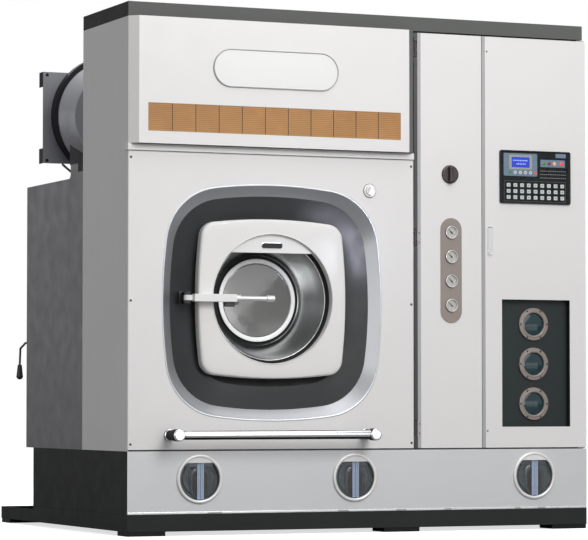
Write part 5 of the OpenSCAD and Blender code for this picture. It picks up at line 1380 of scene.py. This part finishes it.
for x in window_places:
    frames.append(turned("window_frame", x, WINDOW_Z, (
        (WINDOW_R, -0.2), (WINDOW_R, -3.6), (WINDOW_R - 0.8, -5.8), (WINDOW_R - 2.6, -7.4),
        (WINDOW_R - 5, frame_y0), (CLEAR_R + 4, frame_y0), (CLEAR_R + 2, frame_y0 + 0.6),
        (CLEAR_R + 0.4, frame_y0 + 2), (CLEAR_R, frame_y0 + 4), (CLEAR_R, -0.2),
    ), count=128))
    cap = disc(
        "window_cap", x, WINDOW_Z, ((CLEAR_R + 0.8, frame_y0 + 1.6), (CLEAR_R + 0.8, -1)), count=96
    )
    cut(cap, (x, 0, WINDOW_Z + CHORD), (0, 0, 1), keep_below=False)
    caps.append(cap)
    cups.append(turned("cup", x, WINDOW_Z, (
        (CLEAR_R + 1, scale_y0 + 0.2), (CLEAR_R + 3.4, scale_y0 + 0.2), (CLEAR_R + 3.4, cup_y1),
        (3, cup_y1), (3, BACK), (46, BACK), (50, BACK - 3), (64, BACK - 3), (68, BACK),
        (CLEAR_R - 5, BACK), (CLEAR_R - 1, BACK - 4),
    ), count=40))
    cups.append(
        block("cup_shelf", x - 58, x + 58, BACK - 8, BACK + 2, WINDOW_Z + 42, WINDOW_Z + 62, 2.5)
    )
    bosses.append(upright_oval("boss", x + SHIFT, 132, 92, (
        (0, BACK + 1), (1, BACK - 2), (6, BACK - 5), (14, BACK - 5.6),
    )))
    bosses.append(upright_oval("boss_core", x + SHIFT, 106, 62, (
        (0, BACK - 5), (0.6, BACK - 7), (2, BACK - 7.6),
    )))
    for side in (-1, 1):
        middle = x + SHIFT + side * STRIP_APART
        strips.append(block(
            "strip", middle - STRIP_HALF, middle + STRIP_HALF, BACK - 12, BACK - 8,
            WINDOW_Z - 79, WINDOW_Z + CHORD, 0.6,
        ))
        for i in range(SCALE_TICKS):
            z = WINDOW_Z - 70 + i * TICK_PITCH
            half = 5.0 / 2 if i % 4 == 0 else 2.2 / 2
            ticks.append(block(
                "tick", middle - half, middle + half, BACK - 12.25, BACK - 11.9, z - 0.8, z + 0.8, 0
            ))
    panes.append(
        disc("window_pane", x, WINDOW_Z, ((CLEAR_R - 0.5, -1.4), (CLEAR_R - 0.5, 0.6)), count=96)
    )
finish_piece(joined("window_frames", frames), "tank_bezels", window_satin)
finish_piece(joined("window_caps", caps), "tank_bezels", snow, stands_in=False)
finish_piece(joined("window_cups", cups), "level_scales", window_grey)
finish_piece(
    joined("window_bosses", bosses[0::2]), "level_scales", window_grey, stands_in=False,
)
finish_piece(
    joined("window_cores", bosses[1::2]), "level_scales", brown, stands_in=False,
)
finish_piece(joined("window_scales", strips), "level_scales", scale_blue, stands_in=False)
finish_piece(joined("window_ticks", ticks), "level_scales", motor_blue, stands_in=False)
finish_piece(joined("window_panes", panes), "sight_glasses", clear_pane, stands_in=False)

# %% [markdown]
# ## Portholes in the control door
# Behind an opening in the right-hand door lies a dark plate with three portholes. Each is a
# flange with a raised inner rim, six bolts, and dark glass that bulges a little.

# %% Portholes
fx0, fx1, fy0, fy1, fz0, fz1 = span("porthole_flanges")
PORT_R, PORT_CLEAR = (fx1 - fx0) / 2, 46
PORT_X = (fx0 + fx1) / 2
BOLTS, BOLT_CIRCLE = 6, PORT_R - 6
port_rows = (fz0 + PORT_R, (fz0 + fz1) / 2, fz1 - PORT_R)
flanges, bolts, glasses = [], [], []
for z in port_rows:
    flanges.append(turned("flange", PORT_X, z, (
        (PORT_R, fy1), (PORT_R, fy0 + 5), (PORT_R - 1, fy0 + 3.6), (PORT_R - 3, fy0 + 3),
        (PORT_CLEAR + 9, fy0 + 3), (PORT_CLEAR + 7.5, fy0 + 2.2), (PORT_CLEAR + 6, fy0 + 1),
        (PORT_CLEAR + 3, fy0 + 1), (PORT_CLEAR + 0.6, fy0 + 2.6), (PORT_CLEAR, fy0 + 5),
        (PORT_CLEAR, fy1),
    ), count=96))
    for i in range(BOLTS):
        a = radians(360 / BOLTS * i + 120)
        bolt_x, bolt_z = PORT_X + BOLT_CIRCLE * cos(a), z + BOLT_CIRCLE * sin(a)
        bolts.append(disc("bolt", bolt_x, bolt_z, (
            (1.2, fy0 + 1.6), (1.6, fy0 + 0.2), (3, fy0), (3.6, fy0 + 0.5), (3.6, fy0 + 3.4),
        ), count=6))
    glasses.append(disc("port_glass", PORT_X, z, (
        (3, fy0 + 6.6), (20, fy0 + 7.2), (36, fy0 + 8.6), (PORT_CLEAR - 1, fy0 + 10.2),
        (PORT_CLEAR - 0.4, fy0 + 11.8),
    ), count=64))
finish_piece(joined("flanges", flanges), "porthole_flanges", taupe)
finish_piece(joined("flange_bolts", bolts), "porthole_flanges", iron_and_painted_shade, stands_in=False)
finish_piece(joined("port_glasses", glasses), "sight_glasses", porthole_glass)

# %% [markdown]
# ## Gauges
# Four pressure gauges sit in a taupe plate. Each has a satin ring whose outer wall is painted dark,
# as painted shade round the ring, a white dial with ticks and a clear pane. The needles are pieces
# of their own, because they turn.

# %% Gauges
gx0, gx1, gauge_y0, gauge_y1, gz0, gz1 = span("gauge_cases")
GAUGE_R = (gx1 - gx0) / 2
GAUGE_X = (gx0 + gx1) / 2
gauge_rows = [gz1 - GAUGE_R - i * (gz1 - gz0 - 2 * GAUGE_R) / 3 for i in range(4)]
DIAL_Y = -4
MARKS, FIRST_MARK, MARK_STEP, MARK_END = 21, 225, 13.5, 20.5
cases, dials, marks, gauge_panes = [], [], [], []
for z in gauge_rows:
    cases.append(turned("case", GAUGE_X, z, (
        (GAUGE_R, -3.4), (GAUGE_R, gauge_y0 + 2), (GAUGE_R - 0.6, gauge_y0 + 0.6),
        (GAUGE_R - 2, gauge_y0), (GAUGE_R - 3, gauge_y0 + 0.6), (GAUGE_R - 3.5, gauge_y0 + 2),
        (GAUGE_R - 3.5, DIAL_Y + 0.4), (GAUGE_R - 2, DIAL_Y + 0.4), (GAUGE_R - 2, gauge_y1),
        (GAUGE_R - 4, gauge_y1), (GAUGE_R - 4, -1), (GAUGE_R - 2.2, -1), (GAUGE_R - 2.2, -3.4),
    ), count=64))
    dials.append(turned("dial", GAUGE_X, z, (
        (2.2, DIAL_Y + 0.8), (2.2, DIAL_Y), (GAUGE_R - 3.7, DIAL_Y), (GAUGE_R - 3.7, DIAL_Y + 0.8),
    ), count=64))
    for i in range(MARKS):
        a = radians(FIRST_MARK - MARK_STEP * i)
        inner, width = (15, 0.9) if i % 5 == 0 else (17.5, 0.5)
        tick = block(
            "mark", GAUGE_X + inner, GAUGE_X + MARK_END, DIAL_Y - 0.25, DIAL_Y + 0.1,
            z - width / 2, z + width / 2, 0,
        )
        edit(tick)
        bpy.ops.transform.rotate(value=-a, orient_axis="Y", center_override=at(GAUGE_X, DIAL_Y, z))
        bpy.ops.object.mode_set(mode="OBJECT")
        marks.append(tick)
    gauge_panes.append(disc("gauge_pane", GAUGE_X, z, (
        (2, gauge_y0 + 0.7), (GAUGE_R - 8, gauge_y0 + 0.9), (GAUGE_R - 3.8, gauge_y0 + 1.5),
        (GAUGE_R - 3.8, gauge_y0 + 2.2), (2, gauge_y0 + 1.8),
    ), count=48))
gauge_rings = finish_piece(joined("gauge_rings", cases), "gauge_cases", window_satin)
# The rings' outer walls are painted dark: painted shade round each gauge.
repaint(gauge_rings, iron_and_painted_shade, lambda middle, _: all(
    hypot(middle.x - GAUGE_X, middle.z - z) > GAUGE_R - 0.2 for z in gauge_rows
))
finish_piece(joined("gauge_dials", dials), "gauge_cases", dial_white, stands_in=False)
finish_piece(joined("gauge_marks", marks), "gauge_cases", black_satin, stands_in=False)
finish_piece(joined("gauge_panes", gauge_panes), "gauge_glasses", clear_pane)
for i in range(1, 5):
    finish_piece(softened("needle_%d" % i, 0.15), "needle_%d" % i, black_satin)

# %% [markdown]
# ## Main switch
# A dark moulded knob: a round body with a chamfer, and a bar across it to grip. The body is
# turned, and the bar is a block whose top edges are well rounded.

# %% Main switch
kx0, kx1, ky0, ky1, kz0, kz1 = span("main_switch_knob")
KNOB_R = (kx1 - kx0) / 2
KNOB_X, KNOB_Z = (kx0 + kx1) / 2, (kz0 + kz1) / 2
knob = disc("knob_body", KNOB_X, KNOB_Z, (
    (KNOB_R - 9, -7.4), (KNOB_R - 5.5, -8), (KNOB_R - 2.6, -7.2), (KNOB_R - 0.8, -5.4),
    (KNOB_R, -3), (KNOB_R, -1.2),
    (KNOB_R - 2, -0.8), (5, -0.8), (5, ky1 - 4), (9, ky1 - 4), (9, ky1 - 2), (5, ky1 - 2), (5, ky1),
))
grip = block(
    "knob_grip", KNOB_X - 9, KNOB_X + 9, ky0, -7, KNOB_Z - KNOB_R + 5, KNOB_Z + KNOB_R - 5, 3.5, 4
)
pointer = block(
    "knob_mark", KNOB_X - 1.2, KNOB_X + 1.2, ky0, ky0 + 2, KNOB_Z + 8, KNOB_Z + KNOB_R - 9, 0.3
)
finish_piece(joined("knob", [knob, grip]), "main_switch_knob", brown)
finish_piece(pointer, "main_switch_knob", dial_white, stands_in=False)

# %% [markdown]
# ## Release button
# A satin button in a turned ring, hollowed a little for a finger. The ring's inner and outer edges
# are painted dark: painted shade where the ring shades itself and the button.

# %% Release button
ux0, ux1, uy0, uy1, uz0, uz1 = span("button_escutcheon")
BUTTON_X, BUTTON_Z = (ux0 + ux1) / 2, (uz0 + uz1) / 2
RING_OUT = (ux1 - ux0) / 2
BUTTON_R = 18
button_y0, button_y1 = span("release_button")[2:4]
ring = turned("button_ring", BUTTON_X, BUTTON_Z, (
    (RING_OUT, uy1), (RING_OUT - 0.3, -1.6), (RING_OUT - 1.6, -3), (RING_OUT - 3.4, -4.4),
    (RING_OUT - 5, uy0),
    (BUTTON_R + 2.4, uy0 + 0.2), (BUTTON_R + 0.4, uy0 + 1.6), (BUTTON_R + 0.2, uy1),
))
finish_piece(ring, "button_escutcheon", window_satin)
# The ring's inner and outer edges are painted dark: painted shade.
repaint(ring, iron_and_painted_shade, lambda middle, _: not (
    BUTTON_R + 1 < hypot(middle.x - BUTTON_X, middle.z - BUTTON_Z) < RING_OUT - 1.2
))
button = disc("button", BUTTON_X, BUTTON_Z, (
    (3, button_y0 + 2.6), (9, button_y0 + 2), (13.5, button_y0 + 0.6), (15.6, button_y0),
    (17.2, button_y0 + 0.5), (BUTTON_R, button_y0 + 2), (BUTTON_R, button_y1 - 2),
    (BUTTON_R + 4, button_y1 - 2), (BUTTON_R + 4, button_y1),
))
finish_piece(button, "release_button", window_satin)

# %% [markdown]
# ## Flush latch
# The control door's latch is a thin plate with a paddle that swings out at its foot and a
# small round button under it. The paddle is dished, so that a finger finds its lower edge.

# %% Latch
finish_piece(softened("latch_plate", 0.7), "latch_plate", latch_metal)
finish_piece(softened("latch_paddle", 0.6), "latch_paddle", latch_metal)
vx0, vx1, vy0, vy1, vz0, vz1 = span("latch_button")
latch_r = (vx1 - vx0) / 2
latch_button = disc("latch_push", (vx0 + vx1) / 2, (vz0 + vz1) / 2, (
    (1.5, vy0 + 1.2), (4, vy0 + 0.9), (5.6, vy0), (latch_r - 0.3, vy0 + 0.4),
    (latch_r, vy0 + 1.4), (latch_r, vy1),
), count=40)
finish_piece(latch_button, "latch_button", latch_metal)

# %% [markdown]
# ## The controller
# The controller is a black moulded case with a thin raised rim. A blue-grey plate holds the
# display and six round keys, a second one holds four lamps, and three rows of nine keys lie
# under them. All of these are thin plates with round corners, so one helper makes them.

# %% Controller case
ox0, ox1, oy0, oy1, oz0, oz1 = span("controller")
CTL_X, CTL_Z = (ox0 + ox1) / 2, (oz0 + oz1) / 2
CTL_W, CTL_H = ox1 - ox0, oz1 - oz0
FACE_DEPTH, BODY_IN = 2.6, 13


def soft_rect(w, h, r, steps=6):
    """Points of a rectangle with round corners, counted once round."""
    points = []
    for turn, (sx, sz) in enumerate(((1, 1), (-1, 1), (-1, -1), (1, -1))):
        for i in range(steps + 1):
            a = pi / 2 * (turn + i / steps)
            points.append((sx * (w / 2 - r) + r * cos(a), sz * (h / 2 - r) + r * sin(a)))
    return points


def slab(name, x, z, w, h, r, front, back, edge=0.5):
    """A plate with round corners and a softened front edge."""
    outlines = [(edge, front), (edge * 0.3, front + edge * 0.3), (0, front + edge), (0, back)]
    return rings(name, [
        placed(soft_rect(w - 2 * inset, h - 2 * inset, max(r - inset, 0.2)), x, y, z)
        for inset, y in outlines
    ], caps="front back")


case = rings("case", [
    placed(soft_rect(CTL_W - 2 * inset, CTL_H - 2 * inset, 9 - min(inset, 6)), CTL_X, y, CTL_Z)
    for inset, y in (
        (0, -0.2), (0, oy0 + 2), (0.7, oy0 + 0.6), (2.2, oy0), (4.5, oy0 + 0.5),
        (6, oy0 + 2.2), (7, oy0 + FACE_DEPTH),
    )
], caps="back")
body = block(
    "case_body", ox0 + BODY_IN, ox1 - BODY_IN, -0.4, oy1, oz0 + BODY_IN, oz1 - BODY_IN, 2
)
finish_piece(joined("controller_case", [case, body]), "controller", black_gloss)

# %% Display and its plate
FACE = oy0 + FACE_DEPTH
screen_x, screen_z = CTL_X - CTL_W * 0.21, CTL_Z + CTL_H * 0.23


def on_face(name, finish, x, z, w, h, r, front, back, edge=0.5):
    """A thin plate on the controller. front and back are measured from its face."""
    plate = slab(name, x, z, w, h, r, FACE + front, FACE + back, edge)
    return finish_piece(plate, "controller", finish, stands_in=False)


on_face("screen_plate", panel_blue, screen_x - 0.9, screen_z, 153, 92, 5, -1.2, 0.4)
on_face("screen_frame", frame_beige, screen_x - 0.5, screen_z + 10, 104, 58, 3, -1.7, -1)
on_face("screen", screen_glow, screen_x - 0.5, screen_z + 10, 82, 42, 2.5, -2.2, -1.5)
DISPLAY_ROWS = ((-34, 9), (-20, 6))
display_ticks = []
for row, (start, count) in enumerate(DISPLAY_ROWS):
    for i in range(count):
        x = screen_x + start + i * 7.4
        z = screen_z + 17 - row * 14
        display_ticks.append(
            block("display_tick", x, x + 4.4, FACE - 2.35, FACE - 2.1, z - 2.4, z + 2.4, 0)
        )
finish_piece(joined("display_ticks", display_ticks), "controller", tick_glow, stands_in=False)

# %% Lamps and their plate
lamp_x, lamp_z = CTL_X + CTL_W * 0.245, CTL_Z + CTL_H * 0.27
on_face("lamp_plate", panel_blue, lamp_x, lamp_z, 113, 30, 3, -1.2, 0.4)
LAMPS = ((-41, lamp_green), (-17, lamp_dark_red), (8, lamp_orange), (41, lamp_red))
for offset, finish in LAMPS:
    bulb = disc("lamp_%d" % (offset + 50), lamp_x + offset, lamp_z, (
        (1, FACE - 3.2), (4, FACE - 3), (6.4, FACE - 2.2), (7.4, FACE - 1.1), (7.4, FACE - 0.6),
    ), count=32)
    finish_piece(bulb, "controller", finish, stands_in=False)

# %% Corner plate, border and ticks
on_face("tag", panel_blue, CTL_X + 116, CTL_Z + CTL_H / 2 - 17, 47, 17, 1.5, -0.6, 0.4, 0.3)
BORDER_W, BORDER_H = 282, 84
key_border = rings("key_border", [
    placed(soft_rect(BORDER_W - 2 * inset, BORDER_H - 2 * inset, 4), CTL_X - 2, y, CTL_Z - 58)
    for inset, y in ((0, FACE + 0.1), (0.2, FACE - 0.5), (1.2, FACE - 0.5), (1.4, FACE + 0.1))
], closed=True)
finish_piece(key_border, "controller", rear_grey, stands_in=False)
TICK_ROWS, TICK_COLUMNS = 3, 14
legend_ticks = []
for row in range(TICK_ROWS):
    for i in range(TICK_COLUMNS):
        x = CTL_X + 22 + i * 8.6
        z = CTL_Z + 27 - row * 14
        legend_ticks.append(
            block("legend_tick", x, x + 5.4, FACE - 0.25, FACE + 0.1, z - 1, z + 1, 0)
        )
finish_piece(joined("legend_ticks", legend_ticks), "controller", zinc, stands_in=False)

# %% Keys
key_y0, key_y1 = span("controller_keys")[2:4]
KEY_W, KEY_H, PITCH_X, PITCH_Z = 17, 15, CTL_W * 0.095, CTL_H * 0.115
FIRST_Z = CTL_Z - CTL_H * 0.155
KEY_PLACES = [
    (column, row, CTL_X + (column - 4) * PITCH_X, FIRST_Z - row * PITCH_Z)
    for column in range(9) for row in range(3)
]
keys = [
    slab("key", x, z, KEY_W, KEY_H, 2.5, key_y1 - 0.9, key_y1 + 0.4, 0.4)
    for _, _, x, z in KEY_PLACES
]
finish_piece(joined("keys", keys), "controller_keys", key_white)
key_marks = [
    slab("key_mark", x, z, 6 + 3 * ((column + row) % 2), 5.5, 1, key_y1 - 1.1, key_y1 - 0.8, 0.1)
    for column, row, x, z in KEY_PLACES
]
finish_piece(joined("key_marks", key_marks), "controller_keys", frame_beige, stands_in=False)

# %% Round keys under the display
ROUND_PITCH = 23.4
ROUND_KEYS = (lamp_green, key_white, key_white, key_white, key_white, lamp_orange_red)
for i, finish in enumerate(ROUND_KEYS):
    x = CTL_X - CTL_W * 0.385 + 8 + i * ROUND_PITCH
    key = turned("round_key_%d" % i, x, CTL_Z + CTL_H * 0.083, (
        (7, key_y0 + 1.4), (7, key_y0 + 0.7), (6.4, key_y0 + 0.2), (5, key_y0),
        (2.6, key_y0 + 0.5), (2.4, key_y0 + 1.4),
    ), count=32)
    finish_piece(key, "controller_keys", finish, stands_in=False)

# %% [markdown]
# ## Inside the drum
# The casing and its perforated basket are seen only through the open door. The casing stays
# as the CAD model has it, and gets its paint. The basket is a copy whose shaft is a little
# thinner: a circle made of flat sides needs more room in a bearing than a true one does.

# %% Casing and basket
nodes["drum_casing"].data.materials.clear()
nodes["drum_casing"].data.materials.append(still_steel)
basket = softened("drum_basket", 0.3)
SHAFT_R, SHAFT_LENGTH, ROOM = 25, 190, 1.2
SHAFT_START = span("drum_basket")[3] - SHAFT_LENGTH
THINNER = 1 - ROOM / SHAFT_R
edit(basket, "FACE")
select_faces(basket, lambda middle, _: (
    hypot(middle.x - DOOR_X, middle.z - DOOR_Z) < SHAFT_R + 1 and middle.y > SHAFT_START
))
bpy.ops.transform.resize(value=(THINNER, 1, THINNER), center_override=at(DOOR_X, 0, DOOR_Z))
bpy.ops.object.mode_set(mode="OBJECT")
finish_piece(basket, "drum_basket", basket_steel, angle=40)
